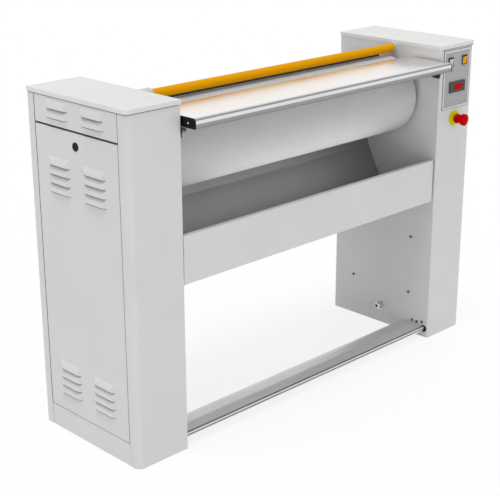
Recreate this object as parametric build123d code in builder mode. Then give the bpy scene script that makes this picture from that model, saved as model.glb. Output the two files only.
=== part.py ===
# Rotary ironer with one padded roller between two sheet-metal cabinets.
# X runs along the roller, the front faces -Y and Z is up. The origin is on the floor,
# in the middle of the four anchor holes. All sizes are in millimetres.
from build123d import *
import math
import os

os.makedirs("parts", exist_ok=True)

# Overall size
overall_width = 1524.0
cabinet_width = 187.5
cabinet_depth = 442.0
body_height = 1037.0

# Sheet metal
sheet = 1.5
bend_r = 3.0
front_corner_r = 21.0
lid_height = 13.0
lid_overhang = 2.0
lid_return = 12.0
lid_corner_r = 16.0
edge_round = 1.5
seam_gap = 2.0
slide_gap = 0.3

# Outer side of a cabinet: one opening framed by jambs, closed by panels
front_strip = 37.0
rear_strip = 31.0
jamb_depth = 20.0
jamb_lip = 12.0
plinth_height = 71.0
vent_height = 80.5
head_gap = 6.0
rail_height = 40.0
seal_height = 4.5
seal_depth = 14.0

# Pressed louvres
louvre_length = 95.0
louvre_rise = 23.0
louvre_reach = 8.0
louvre_end = 17.0
louvre_pitch = 26.5
louvre_column_offset = 79.5
lower_louvre_lift = 59.0
upper_louvre_drop = 186.5
vent_louvre_lift = 22.0
louvre_rows = 4
vent_rows = 2

# Door lock
lock_r = 12.5
lock_rim = 2.0
lock_drop = 37.5
lock_barrel_r = 11.0
plug_r = 8.0
cam_length = 52.0
cam_width = 14.0
cam_thickness = 3.0
cam_gap = 2.0
running_gap = 0.05

# Frame plates and base pans
frame_plate = 5.0
frame_front_inset = 61.0
frame_back_inset = 5.0
frame_plate_flange = 25.0
frame_plate_head = 6.0
window_depth = 130.0
window_height = 240.0
window_lift = 182.0
window_r = 25.0
pan_thickness = 3.0
pan_flange = 20.0
anchor_hole_r = 7.0
anchor_inset_x = 72.0
anchor_inset_y = 71.0

# Roller
roller_r = 133.0
roller_end_gap = 14.5
roller_forward = 10.0
rim_chamfer = 8.0
cover_thickness = 1.2
padding_thickness = 8.0
fit_gap = 0.2
drum_wall = 4.0
hub_wall = 8.0
hub_inset = 10.0
cover_turn_in = 24.0
shaft_r = 20.0
bearing_size = 92.0
bearing_flange = 10.0
bearing_depth = 22.0
bearing_r = 32.0
bearing_corner_r = 14.0
shaft_spare = 6.0

# Belt drive
pulley_width = 24.0
groove_width = 16.0
groove_depth = 8.0
roller_pulley_r = 84.0
drive_pulley_r = 34.0
pulley_hub_r = 30.0
pulley_web = 8.0
belt_width = 13.0
belt_thickness = 6.0
pulley_start = 31.0
drive_shaft_forward = 76.0
drive_shaft_drop = 267.0
drive_shaft_r = 10.0
gearbox_depth = 96.0
gearbox_height = 124.0
gearbox_r = 12.0
gearbox_gap = 4.0
gearbox_spigot_r = 30.0
shelf_thickness = 5.0
shelf_side_gap = 6.0
shelf_nose = 6.0
shelf_leg = 60.0
drive_door_gap = 4.5
cowl_share = 0.5859
cowl_step = 4.0
motor_length = 190.0
motor_flange_step = 6.0
motor_flange = 10.0
fan_cowl = 42.0
terminal_box_width = 64.0
terminal_box_height = 80.0
terminal_box_depth = 30.0

# Heated trough behind the roller
trough_gap = 1.5
trough_wall = 24.0
trough_low_angle = -45.0
trough_high_angle = 78.0
casing_high_angle = 52.0
insulation_thickness = 12.0
casing_thickness = 1.5
trough_end_gap = 12.5
heater_r = 5.0
heater_count = 6
arm_thickness = 8.0
arm_hub_r = 26.0
arm_neck_r = 17.0
arm_neck_angle = -32.0
pivot_inset = 71.0
pivot_drop = 177.0
pivot_r = 12.5
bush_wall = 5.0
bush_flange_r = 24.0
bush_flange = 2.5
nose_r = 6.0

# Pedal linkage in the left cabinet
pedal_inset = 17.0
pedal_z = 32.0
pedal_rod_r = 6.0
pedal_bush_r = 12.0
pedal_bush_neck_r = 9.0
pedal_bush_flange = 3.0
pedal_arm = 25.0
trough_arm = 50.0
trough_arm_angle = -10.0
lever_thickness = 6.0
lever_gap = 2.0
lever_hub_r = 13.0
trough_lever_hub_r = 22.0
lever_end_r = 10.0
link_pin_r = 5.0
link_eye_r = 10.0
link_eye_width = 10.0
link_rod_r = 4.0
link_pin_gap = 0.6
link_side_gap = 1.0
link_notch_low = 40.0
link_notch_height = 70.0

# Pedal plate
pedal_sheet = 2.0
pedal_rise = 13.0
pedal_crest = 40.0
pedal_knee = 78.0
pedal_reach = 119.0
pedal_tail_drop = 11.0
pedal_bend_r = 45.0
pedal_side_gap = 1.5
pedal_wrap = 160.0

# Finger guard bar
bar_r = 14.5
bar_forward = 10.0
bar_drop = 13.5
nip_height = 4.5
bar_pin_r = 6.0
left_boss_length = 60.0
right_boss_length = 12.0
left_boss_r = 20.0
right_boss_r = 17.5
bar_end_gap = 1.0
bar_end_chamfer = 1.5
lip_end_inset = 23.5
lip_width = 17.0
lip_drop = 4.5
lip_root = 4.0
lip_chamfer = 4.0

# Feed table
table_rise = 3.0
table_side_gap = 5.0
table_back_gap = 80.0
table_overhang = 51.0
table_sheet = 2.0
table_back_flange = 14.0
table_front_flange = 24.0
profile_depth = 14.0
profile_height = 29.0
profile_round = 9.0
profile_groove = 2.0
profile_groove_drop = 4.5
cap_thickness = 4.5
cap_depth = 59.0
cap_round = 12.0
bracket_sheet = 3.0
bracket_nose_setback = 32.0
bracket_toe_setback = 54.0
bracket_heel_setback = 67.0
bracket_back_gap = 28.0
bracket_drop = 59.0
bracket_leg = 32.0
bracket_back_height = 41.0
bracket_nose_height = 6.0
bracket_slot_setback = 44.0
bracket_slot_drop = 45.5
bracket_slot_angle = 62.0
bracket_slot_length = 22.0
bracket_slot_width = 7.0

# Linen tray and its white front
tray_front_inset = 6.0
tray_front_height = 146.5
tray_front_flange = 15.0
tray_front_gap = 5.5
tray_sheet = 1.5
tray_heel_setback = 15.0
tray_heel_lift = 8.5
tray_heel_r = 45.0
tray_toe_r = 12.0
tray_fold_gap = 71.0
tray_fold_rise = 1.0
tray_back_gap = 58.0
tray_back_drop = 24.0
tray_back_rise = 50.0
tray_end_gap = 0.25

# Rear cover and tie beam
rear_cover_sink = 60.0
rear_cover_drop = 72.0
rear_cover_inset = 5.0
rear_cover_flange = 12.0
tie_height = 50.0
tie_depth = 30.0
tie_wall = 3.0
tie_inset = 14.0
tie_drop = 43.5

# Controls on the right cabinet
plate_inset = 17.5
plate_width = 148.0
plate_height = 199.5
plate_drop = 7.0
plate_thickness = 1.5
plate_round = 4.0
controller_inset = 76.5
controller_lift = 73.0
controller_width = 85.0
controller_height = 37.0
controller_proud = 4.0
controller_depth = 58.0
controller_step = 5.0
readout_shift = 4.0
readout_sink = 0.5
readout_width = 43.0
readout_height = 20.0
readout_thickness = 1.0
switch_inset = 37.0
switch_pitch = 75.0
switch_drop = 39.5
switch_width = 26.0
switch_height = 32.0
switch_proud = 3.0
switch_depth = 26.0
switch_rim = 2.5
switch_step = 1.5
rocker_gap = 0.5
rocker_tilt = 8.0
rocker_face = 4.6
rocker_dish = 1.6
rocker_root = 5.0
rocker_root_share = 0.55
rocker_end_gap = 1.1
rocker_pivot_depth = 5.0
switch_hole_depth = 13.0
cutout_gap = 0.5

# Emergency stop
stop_inset = 70.0
stop_drop = 35.5
stop_disc_r = 26.0
stop_disc = 2.5
stop_nut_r = 13.0
stop_nut = 3.5
stop_stem_r = 7.0
stop_stem_depth = 30.0
stop_travel = 5.0
stop_collar_r = 16.5
stop_collar_start = 13.0
stop_collar = 8.0
stop_waist_r = 14.5
stop_head_r = 20.0
stop_head_start = 40.0
stop_head = 9.0
stop_dome = 7.0
stop_bore_depth = 16.0
stop_flare = 4.0
stop_head_flare = 9.0
stop_end_gap = 2.0
stop_barrel_r = 11.0
stop_barrel = 40.0

# Electrical plate in the right cabinet
board_width = 200.0
board_height = 240.0
board_drop = 220.0
board_thickness = 2.0
board_standoff = 12.0
standoff_r = 5.0
board_inset = 15.0
rail_width = 35.0
rail_depth = 7.5
contactor_width = 45.0
contactor_height = 78.0
contactor_depth = 70.0
contactor_pitch = 54.0
contactor_step = 12.0
contactor_waist = 16.0
contactor_count = 3

# Cable gland on the right cabinet's inner wall
gland_forward = 3.0
gland_z = 69.0
gland_hex_r = 14.0
gland_hex = 8.0
gland_nut_r = 12.5
gland_nut = 16.0
gland_nose = 4.0
gland_bore_r = 6.0
gland_thread_r = 10.0
gland_back_nut = 5.0

# Places worked out from the sizes above
overrun = 5.0
outer_x = overall_width / 2
inner_x = outer_x - cabinet_width
cabinet_mid_x = (outer_x + inner_x) / 2
front_y = -cabinet_depth / 2
back_y = cabinet_depth / 2
front_seam_y = front_y + front_strip
back_seam_y = back_y - rear_strip
panel_mid_y = (front_seam_y + back_seam_y) / 2
panel_width = back_seam_y - front_seam_y - seam_gap
panel_depth = jamb_depth - sheet
plate_x = inner_x + sheet
vent_bottom = body_height - seam_gap / 2 - vent_height
door_bottom = plinth_height + seam_gap
door_top = vent_bottom - head_gap
works_x = plate_x + frame_plate
frame_front_y = front_y + frame_front_inset
frame_back_y = back_y - frame_back_inset
frame_top = body_height - frame_plate_head
roller_y = -roller_forward
bar_y = roller_y - bar_forward
bar_z = body_height - bar_drop
roller_z = bar_z - bar_r - lip_drop - nip_height - roller_r
pivot_y = back_y - pivot_inset
pivot_z = roller_z - pivot_drop
drive_y = roller_y - drive_shaft_forward
drive_z = roller_z - drive_shaft_drop
pedal_y = front_y + pedal_inset
trough_half = inner_x - trough_end_gap
lever_x = works_x + lever_gap
link_x = lever_x + lever_thickness + link_side_gap
pulley_x = works_x + pulley_start
trough_r = roller_r + trough_gap
trough_back_r = trough_r + trough_wall
insulation_r = trough_back_r + fit_gap
casing_r = insulation_r + insulation_thickness + fit_gap
link_low = (pedal_y + pedal_arm, pedal_z)
link_high = (
    pivot_y + trough_arm * math.cos(math.radians(trough_arm_angle)),
    pivot_z + trough_arm * math.sin(math.radians(trough_arm_angle)),
)
anchor_x = inner_x + anchor_inset_x
anchor_y = cabinet_depth / 2 - anchor_inset_y
table_top = roller_z + roller_r + table_rise
table_half = inner_x - table_side_gap - cap_thickness
table_back_y = roller_y - table_back_gap
profile_front_y = front_y - table_overhang
tray_front_y = front_y + tray_front_inset
tray_back_of_front = tray_front_y + tray_front_flange
tray_back_z = roller_z - roller_r - tray_back_drop
tray_front_top = tray_back_z - tray_back_rise
tray_front_bottom = tray_front_top - tray_front_height
plate_left = inner_x + plate_inset
plate_top = body_height - plate_drop
plate_bottom = plate_top - plate_height
controller_x = plate_left + controller_inset
controller_z = plate_bottom + controller_lift
switch_1_x = plate_left + switch_inset
switch_2_x = switch_1_x + switch_pitch
switch_z = plate_top - switch_drop
stop_x = plate_left + stop_inset
stop_z = plate_bottom - stop_drop
gland_y = -gland_forward
roller_place = [(roller_y, roller_z)]
drive_place = [(drive_y, drive_z)]
pivot_place = [(pivot_y, pivot_z)]
pedal_place = [(pedal_y, pedal_z)]
bar_place = [(bar_y, bar_z)]
gland_place = [(gland_y, gland_z)]

roller_plane = Plane(origin=(0, roller_y, roller_z), x_dir=(1, 0, 0), z_dir=(0, -1, 0))
roller_axis = Axis((0, roller_y, roller_z), (1, 0, 0))


def cut_along_x(start, length, places, radius):
    """Round holes along X through the part being built."""
    with BuildSketch(Plane.YZ.offset(start)) as holes:
        with Locations(*places):
            Circle(radius)
    extrude(holes.sketch, amount=length, mode=Mode.SUBTRACT)


def disc_along_x(start, length, places, radius, mode=Mode.ADD):
    """Round bars along X, added to the part being built."""
    with BuildSketch(Plane.YZ.offset(start)) as discs:
        with Locations(*places):
            Circle(radius)
    extrude(discs.sketch, amount=length, mode=mode)


def sector(centre, inner, outer, low, high):
    """Ring sector about a centre in the sketch being built."""
    with BuildLine() as outline:
        near = CenterArc(centre, inner, low, high - low)
        far = CenterArc(centre, outer, low, high - low)
        Line(near @ 0, far @ 0)
        Line(near @ 1, far @ 1)
    make_face(outline.edges())


def bent_strip(points, radii, thickness, side=Side.LEFT):
    """Section of a bent sheet: a line with rounded bends, thickened to one side."""
    with BuildLine() as outline:
        FilletPolyline(*points, radius=radii)
        offset(amount=thickness, side=side)
    make_face(outline.edges())


def folded_panel(side, low, height, depth):
    """A door, cover or strip on a cabinet's outer side, its four edges turned in."""
    middle_z = low + height / 2
    with Locations((side * (outer_x - depth / 2), panel_mid_y, middle_z)):
        Box(depth, panel_width, height)
    skin = faces().sort_by(Axis.X)[0 if side < 0 else -1]
    fillet(skin.edges(), edge_round)
    with Locations((side * (outer_x - depth / 2 - sheet), panel_mid_y, middle_z)):
        Box(depth, panel_width - 2 * sheet, height - 2 * sheet, mode=Mode.SUBTRACT)


def louvre_hood(length, rise, reach, end):
    """A pressed louvre with rounded ends, standing out towards -X, its mouth down."""
    with BuildPart() as hood:
        with BuildSketch(Plane.XZ.offset(-length / 2)):
            with BuildLine():
                arch = RadiusArc((0, rise), (-reach, 0), -(reach**2 + rise**2) / (2 * reach))
                Polyline(arch @ 1, (0, 0), arch @ 0)
            make_face()
        extrude(amount=length)
        with BuildSketch():
            with BuildLine():
                end_r = (reach**2 + end**2) / (2 * reach)
                near = RadiusArc((0, -length / 2), (-reach, end - length / 2), end_r)
                far = RadiusArc((-reach, length / 2 - end), (0, length / 2), end_r)
                Line(near @ 1, far @ 0)
                Line(far @ 1, near @ 0)
            make_face()
        extrude(amount=rise, mode=Mode.INTERSECT)
    return hood.part


louvre_outside = louvre_hood(louvre_length, louvre_rise, louvre_reach, louvre_end)
louvre_inside = louvre_hood(
    louvre_length - 2 * sheet,
    louvre_rise - sheet,
    louvre_reach - sheet,
    louvre_end,
)
louvre_slot = Box(
    2 * sheet,
    louvre_length - 2 * louvre_end,
    louvre_rise - 2 * sheet,
    align=(Align.CENTER, Align.CENTER, Align.MIN),
    mode=Mode.PRIVATE,
)


def press_louvres(places):
    """Raise louvres on the left cabinet's outer face and cut their mouths through."""
    with Locations(*places):
        add(louvre_outside)
    with Locations(*places):
        add(louvre_inside, mode=Mode.SUBTRACT)
        add(louvre_slot, mode=Mode.SUBTRACT)


# Cabinet shells: front, inner wall and back bent from one sheet, with jambs at the open side
for side, name in ((-1, "left"), (1, "right")):
    with BuildPart() as shell:
        with BuildSketch():
            with BuildLine():
                FilletPolyline(
                    (side * outer_x, front_y),
                    (side * inner_x, front_y),
                    (side * inner_x, back_y),
                    (side * outer_x, back_y),
                    radius=(front_corner_r, bend_r, bend_r, bend_r),
                    close=True,
                )
            make_face()
            offset(amount=-sheet, mode=Mode.SUBTRACT)
            with Locations((side * outer_x, (front_seam_y + back_seam_y) / 2)):
                Rectangle(2 * (sheet + slide_gap), back_seam_y - front_seam_y, mode=Mode.SUBTRACT)
            for seam_y, inward in ((front_seam_y, 1), (back_seam_y, -1)):
                with Locations((side * (outer_x - jamb_depth / 2), seam_y - inward * sheet / 2)):
                    Rectangle(jamb_depth, sheet)
                lip_x = outer_x - jamb_depth + sheet / 2
                lip_y = seam_y + inward * (jamb_lip - sheet) / 2
                with Locations((side * lip_x, lip_y)):
                    Rectangle(sheet, jamb_lip + sheet)
        extrude(amount=body_height)
        wall_start = inner_x - overrun if side > 0 else -inner_x - sheet - overrun
        wall_cut = sheet + 2 * overrun
        cut_along_x(wall_start, wall_cut, roller_place, shaft_r + shaft_spare)
        cut_along_x(wall_start, wall_cut, pivot_place, pivot_r + bush_wall)
        cut_along_x(wall_start, wall_cut, pedal_place, pedal_bush_neck_r)
        cut_along_x(wall_start, wall_cut, bar_place, bar_pin_r + seam_gap)
        if side > 0:
            cut_along_x(wall_start, wall_cut, gland_place, gland_thread_r)
            with BuildSketch(Plane.XZ.offset(-front_y - overrun)):
                with Locations((controller_x, controller_z)):
                    Rectangle(
                        controller_width - 2 * controller_step + 2 * cutout_gap,
                        controller_height - 2 * controller_step + 2 * cutout_gap,
                    )
                with Locations((switch_1_x, switch_z), (switch_2_x, switch_z)):
                    Rectangle(
                        switch_width - 2 * switch_step + 2 * cutout_gap,
                        switch_height - 2 * switch_step + 2 * cutout_gap,
                    )
                with Locations((stop_x, stop_z)):
                    Circle(stop_barrel_r)
            extrude(amount=2 * overrun, mode=Mode.SUBTRACT)
    shell.part.label = name + "_cabinet_shell"
    export_step(shell.part, "parts/" + name + "_cabinet_shell.step")

# Frame plates inside the shells: channels that carry the bearings
for side, name in ((-1, "left"), (1, "right")):
    with BuildPart() as plate:
        with BuildSketch(Plane.XY.offset(pan_thickness)):
            bent_strip(
                (
                    (side * (works_x + frame_plate_flange), frame_front_y),
                    (side * plate_x, frame_front_y),
                    (side * plate_x, frame_back_y),
                    (side * (works_x + frame_plate_flange), frame_back_y),
                ),
                frame_plate + sheet,
                frame_plate,
                Side.LEFT if side < 0 else Side.RIGHT,
            )
        extrude(amount=frame_top - pan_thickness)
        start = plate_x - overrun if side > 0 else -works_x - overrun
        length = frame_plate + 2 * overrun
        with BuildSketch(Plane.YZ.offset(start)):
            with Locations(((frame_back_y + frame_front_y) / 2, window_lift + window_height / 2)):
                RectangleRounded(window_depth, window_height, window_r)
        extrude(amount=length, mode=Mode.SUBTRACT)
        cut_along_x(start, length, roller_place, shaft_r + shaft_spare)
        cut_along_x(start, length, pivot_place, pivot_r + bush_wall)
        cut_along_x(start, length, bar_place, bar_pin_r + seam_gap)
        if side > 0:
            cut_along_x(start, length, gland_place, gland_hex_r + seam_gap)
        else:
            notch_z = link_notch_low + link_notch_height / 2
            with Locations((-works_x - frame_plate_flange, frame_front_y, notch_z)):
                Box(
                    2 * (frame_plate_flange - sheet),
                    4 * frame_plate,
                    link_notch_height,
                    mode=Mode.SUBTRACT,
                )
    plate.part.label = name + "_frame_plate"
    export_step(plate.part, "parts/" + name + "_frame_plate.step")

# Base pans with the holes for floor anchors
with BuildPart() as base_pans:
    for side in (-1, 1):
        pan_far_x = outer_x - jamb_depth
        pan_mid_x = side * (plate_x + pan_far_x) / 2
        pan_width = pan_far_x - plate_x
        pan_length = cabinet_depth - 2 * sheet
        with BuildSketch():
            with Locations((pan_mid_x, 0)):
                RectangleRounded(pan_width, pan_length, bend_r)
            with Locations((side * anchor_x, anchor_y), (side * anchor_x, -anchor_y)):
                Circle(anchor_hole_r, mode=Mode.SUBTRACT)
        extrude(amount=pan_thickness)
        with BuildSketch(Plane.XY.offset(pan_thickness)):
            with Locations((pan_mid_x, 0)):
                RectangleRounded(pan_width, pan_length, bend_r)
            with Locations((pan_mid_x - side * pan_thickness, 0)):
                Rectangle(
                    pan_width,
                    pan_length - 2 * pan_thickness,
                    mode=Mode.SUBTRACT,
                )
        extrude(amount=pan_flange - pan_thickness)
base_pans.part.label = "base_pans"
export_step(base_pans.part, "parts/base_pans.step")

# Lids: a folded top with skirts and a return flange that rests on the shell's rim
for side, name in ((-1, "left"), (1, "right")):
    with BuildPart() as lid:
        corner_radii = (lid_corner_r, bend_r, bend_r, bend_r)
        lid_corners = (
            (side * (outer_x + lid_overhang), front_y - lid_overhang),
            (side * (inner_x - lid_overhang), front_y - lid_overhang),
            (side * (inner_x - lid_overhang), back_y + lid_overhang),
            (side * (outer_x + lid_overhang), back_y + lid_overhang),
        )
        with BuildSketch(Plane.XY.offset(body_height)) as lid_outline:
            with BuildLine():
                FilletPolyline(*lid_corners, radius=corner_radii, close=True)
            make_face()
        extrude(amount=lid_height)
        chamfer(faces().sort_by(Axis.Z)[-1].edges(), edge_round)
        with BuildSketch(Plane.XY.offset(body_height + sheet)):
            add(lid_outline.sketch)
            offset(amount=-sheet, mode=Mode.REPLACE)
        extrude(amount=lid_height - 2 * sheet, mode=Mode.SUBTRACT)
        with BuildSketch(Plane.XY.offset(body_height - sheet)):
            with Locations((side * cabinet_mid_x, 0)):
                Rectangle(cabinet_width - 2 * lid_return, cabinet_depth - 2 * lid_return)
        extrude(amount=3 * sheet, mode=Mode.SUBTRACT)
    lid.part.label = name + "_lid"
    export_step(lid.part, "parts/" + name + "_lid.step")

# Left cabinet's outer side: plinth, door and louvred panel, with the rail between them
with BuildPart() as left_plinth:
    folded_panel(-1, 0, plinth_height, panel_depth)
left_plinth.part.label = "left_plinth"
export_step(left_plinth.part, "parts/left_plinth.step")

with BuildPart() as vent_panel:
    folded_panel(-1, vent_bottom, vent_height, panel_depth)
    lowest_z = vent_bottom + vent_louvre_lift
    press_louvres([
        (-outer_x, panel_mid_y + column * louvre_column_offset, lowest_z + row * louvre_pitch)
        for column in (-1, 1)
        for row in range(vent_rows)
    ])
vent_panel.part.label = "vent_panel"
export_step(vent_panel.part, "parts/vent_panel.step")

with BuildPart() as service_door:
    folded_panel(-1, door_bottom, door_top - door_bottom, panel_depth - slide_gap)
    press_louvres([
        (-outer_x, panel_mid_y + column * louvre_column_offset, lowest_z + row * louvre_pitch)
        for column in (-1, 1)
        for lowest_z in (door_bottom + lower_louvre_lift, door_top - upper_louvre_drop)
        for row in range(louvre_rows)
    ])
    lock_z = door_top - lock_drop
    cut_along_x(-outer_x - overrun, sheet + 2 * overrun, [(panel_mid_y, lock_z)], lock_barrel_r)
service_door.part.label = "service_door"
export_step(service_door.part, "parts/service_door.step")

with BuildPart() as door_rail:
    rail_x = -outer_x + jamb_depth
    rail_z = door_top + head_gap / 2
    rail_length = back_seam_y - front_seam_y - 2 * jamb_lip
    with Locations((rail_x - sheet / 2, panel_mid_y, rail_z)):
        Box(sheet, rail_length, rail_height)
    with Locations((rail_x - sheet + jamb_lip / 2, panel_mid_y, rail_z + (rail_height - sheet) / 2)):
        Box(jamb_lip, rail_length, sheet)
door_rail.part.label = "door_rail"
export_step(door_rail.part, "parts/door_rail.step")

with BuildPart() as rail_seal:
    with Locations((rail_x - sheet - seal_depth / 2, panel_mid_y, vent_bottom - seal_height / 2)):
        Box(seal_depth, panel_width, seal_height)
rail_seal.part.label = "rail_seal"
export_step(rail_seal.part, "parts/rail_seal.step")

# Right cabinet's outer side: one plain cover
with BuildPart() as right_side_cover:
    folded_panel(1, 0, body_height - seam_gap / 2, panel_depth)
right_side_cover.part.label = "right_side_cover"
export_step(right_side_cover.part, "parts/right_side_cover.step")

# Door lock: a fixed barrel in the door and a plug that carries the cam
lock_place = [(panel_mid_y, lock_z)]
lock_front = -outer_x - lock_rim
lock_back = -outer_x + jamb_depth + cam_gap
with BuildPart() as door_lock:
    disc_along_x(lock_front, lock_rim, lock_place, lock_r)
    disc_along_x(-outer_x, lock_back - running_gap + outer_x, lock_place, lock_barrel_r)
    disc_along_x(-outer_x + sheet, sheet, lock_place, lock_r + edge_round)
    cut_along_x(
        lock_front - overrun,
        lock_back - lock_front + 2 * overrun,
        lock_place,
        plug_r + running_gap,
    )
door_lock.part.label = "door_lock"
export_step(door_lock.part, "parts/door_lock.step")

with BuildPart() as lock_cam:
    disc_along_x(lock_front + slide_gap, lock_back - lock_front - slide_gap, lock_place, plug_r)
    with BuildSketch(Plane.YZ.offset(lock_back)):
        with Locations((panel_mid_y + cam_length / 2 - cam_width / 2, lock_z)):
            SlotOverall(cam_length, cam_width)
    extrude(amount=cam_thickness)
    with Locations((lock_front + slide_gap, panel_mid_y, lock_z)):
        Box(2 * sheet, sheet, plug_r, mode=Mode.SUBTRACT)
lock_cam.part.label = "lock_cam"
export_step(lock_cam.part, "parts/lock_cam.step")

# Roller: drum, end hubs, padding and the cloth drawn over the ends
cover_half = inner_x - roller_end_gap
padding_half = cover_half - cover_thickness - fit_gap
padding_r = roller_r - cover_thickness - fit_gap
drum_half = padding_half - padding_thickness - fit_gap
drum_r = padding_r - padding_thickness - fit_gap
drum_inner_r = drum_r - drum_wall
turn_in_r = roller_r - cover_turn_in
hub_x = drum_half - hub_inset - hub_wall
right_shaft_end = works_x + bearing_depth + shaft_spare
left_shaft_end = pulley_x + pulley_width + shaft_spare


def rimmed_roll(half, radius, cut, mode=Mode.ADD):
    """A cylinder on the roller's axis with chamfered rims."""
    with BuildSketch(roller_plane) as section:
        with BuildLine():
            Polyline(
                (-half, 0),
                (-half, radius - cut),
                (-half + cut, radius),
                (half - cut, radius),
                (half, radius - cut),
                (half, 0),
                close=True,
            )
        make_face()
    revolve(section.sketch, axis=roller_axis, mode=mode)


with BuildPart() as roller_cover:
    inner_chamfer = rim_chamfer - cover_thickness
    rimmed_roll(cover_half, roller_r, rim_chamfer)
    rimmed_roll(cover_half - cover_thickness, roller_r - cover_thickness, inner_chamfer, Mode.SUBTRACT)
    cut_along_x(-cover_half - overrun, 2 * (cover_half + overrun), roller_place, turn_in_r)
roller_cover.part.label = "roller_cover"
export_step(roller_cover.part, "parts/roller_cover.step")

with BuildPart() as roller_padding:
    rimmed_roll(padding_half, padding_r, inner_chamfer)
    cut_along_x(-drum_half - fit_gap, 2 * (drum_half + fit_gap), roller_place, drum_r + fit_gap)
    cut_along_x(-padding_half - overrun, 2 * (padding_half + overrun), roller_place, turn_in_r)
roller_padding.part.label = "roller_padding"
export_step(roller_padding.part, "parts/roller_padding.step")

with BuildPart() as roller_drum:
    disc_along_x(-drum_half, 2 * drum_half, roller_place, drum_r)
    cut_along_x(-drum_half - overrun, 2 * (drum_half + overrun), roller_place, drum_inner_r)
roller_drum.part.label = "roller_drum"
export_step(roller_drum.part, "parts/roller_drum.step")

with BuildPart() as roller_hubs:
    for side, shaft_end in ((-1, left_shaft_end), (1, right_shaft_end)):
        with BuildSketch(roller_plane):
            with BuildLine():
                Polyline(
                    (side * hub_x, 0),
                    (side * hub_x, drum_inner_r - running_gap),
                    (side * (hub_x + hub_wall), drum_inner_r - running_gap),
                    (side * (hub_x + hub_wall), shaft_r + hub_wall),
                    (side * (hub_x + 2 * hub_wall), shaft_r),
                    (side * (shaft_end - edge_round), shaft_r),
                    (side * shaft_end, shaft_r - edge_round),
                    (side * shaft_end, 0),
                    close=True,
                )
            make_face()
        revolve(axis=roller_axis)
roller_hubs.part.label = "roller_hubs"
export_step(roller_hubs.part, "parts/roller_hubs.step")

with BuildPart() as roller_bearings:
    for side in (-1, 1):
        seat_x = works_x if side > 0 else -works_x - bearing_flange
        hub_start = works_x if side > 0 else -works_x - bearing_depth
        with BuildSketch(Plane.YZ.offset(seat_x)):
            with Locations((roller_y, roller_z)):
                RectangleRounded(bearing_size, bearing_size, bearing_corner_r)
        extrude(amount=bearing_flange)
        disc_along_x(hub_start, bearing_depth, roller_place, bearing_r)
        cut_along_x(hub_start - overrun, bearing_depth + 2 * overrun, roller_place, shaft_r + running_gap)
roller_bearings.part.label = "roller_bearings"
export_step(roller_bearings.part, "parts/roller_bearings.step")


def grooved_pulley(centre, start, groove_r, bore_r):
    """A pulley with a flat-bottomed groove, dished on its outer side."""
    disc_along_x(start, pulley_width, [centre], groove_r + groove_depth)
    with BuildSketch(Plane.YZ.offset(start + (pulley_width - groove_width) / 2)) as groove:
        with Locations(centre):
            Circle(groove_r + groove_depth + overrun)
            Circle(groove_r, mode=Mode.SUBTRACT)
    extrude(groove.sketch, amount=groove_width, mode=Mode.SUBTRACT)
    if groove_r > pulley_hub_r + 2 * groove_depth:
        with BuildSketch(Plane.YZ.offset(start)) as dish:
            with Locations(centre):
                Circle(groove_r - groove_depth)
                Circle(pulley_hub_r, mode=Mode.SUBTRACT)
        extrude(dish.sketch, amount=pulley_width - pulley_web, mode=Mode.SUBTRACT)
    cut_along_x(start - overrun, pulley_width + 2 * overrun, [centre], bore_r)


# Belt drive in the left cabinet
with BuildPart() as roller_pulley:
    grooved_pulley((roller_y, roller_z), -pulley_x - pulley_width, roller_pulley_r, shaft_r + running_gap)
roller_pulley.part.label = "roller_pulley"
export_step(roller_pulley.part, "parts/roller_pulley.step")

gearbox_x = pulley_x + pulley_width + gearbox_gap
drive_room = outer_x - panel_depth - drive_door_gap - gearbox_x
fan_cowl_r = cowl_share * drive_room
motor_r = fan_cowl_r - cowl_step
motor_flange_r = motor_r + motor_flange_step
shelf_reach = motor_flange_r + shelf_side_gap
gearbox_width = 2 * (drive_room - fan_cowl_r)
gearbox_mid_x = gearbox_x + gearbox_width / 2
shelf_top = drive_z - gearbox_height / 2
with BuildPart() as drive_pulley:
    grooved_pulley((drive_y, drive_z), -pulley_x - pulley_width, drive_pulley_r, drive_shaft_r / 2)
    disc_along_x(-gearbox_mid_x, gearbox_mid_x - pulley_x - running_gap, drive_place, drive_shaft_r)
drive_pulley.part.label = "drive_pulley"
export_step(drive_pulley.part, "parts/drive_pulley.step")

with BuildPart() as drive_belt:
    belt_start = -pulley_x - (pulley_width + belt_width) / 2
    belt_circles = ((roller_y, roller_z, roller_pulley_r), (drive_y, drive_z, drive_pulley_r))
    for thickness, mode in ((belt_thickness + slide_gap, Mode.ADD), (slide_gap, Mode.SUBTRACT)):
        with BuildSketch(Plane.YZ.offset(belt_start)) as loop:
            with BuildLine() as rounds:
                for middle_y, middle_z, radius in belt_circles:
                    CenterArc((middle_y, middle_z), radius + thickness, 0, 360)
            make_hull(rounds.edges())
        extrude(loop.sketch, amount=belt_width, mode=mode)
drive_belt.part.label = "drive_belt"
export_step(drive_belt.part, "parts/drive_belt.step")

with BuildPart() as gearbox:
    with Locations((-gearbox_mid_x, drive_y, drive_z)):
        Box(gearbox_width, gearbox_depth, gearbox_height)
    fillet(edges().filter_by(Axis.X), gearbox_r)
    with BuildSketch(Plane.XY.offset(shelf_top - shelf_thickness)):
        with Locations((-gearbox_mid_x, drive_y)):
            Circle(gearbox_spigot_r)
    extrude(amount=shelf_thickness)
    cut_along_x(-gearbox_mid_x - edge_round, gearbox_width, drive_place, drive_shaft_r + running_gap)
gearbox.part.label = "gearbox"
export_step(gearbox.part, "parts/gearbox.step")

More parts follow.
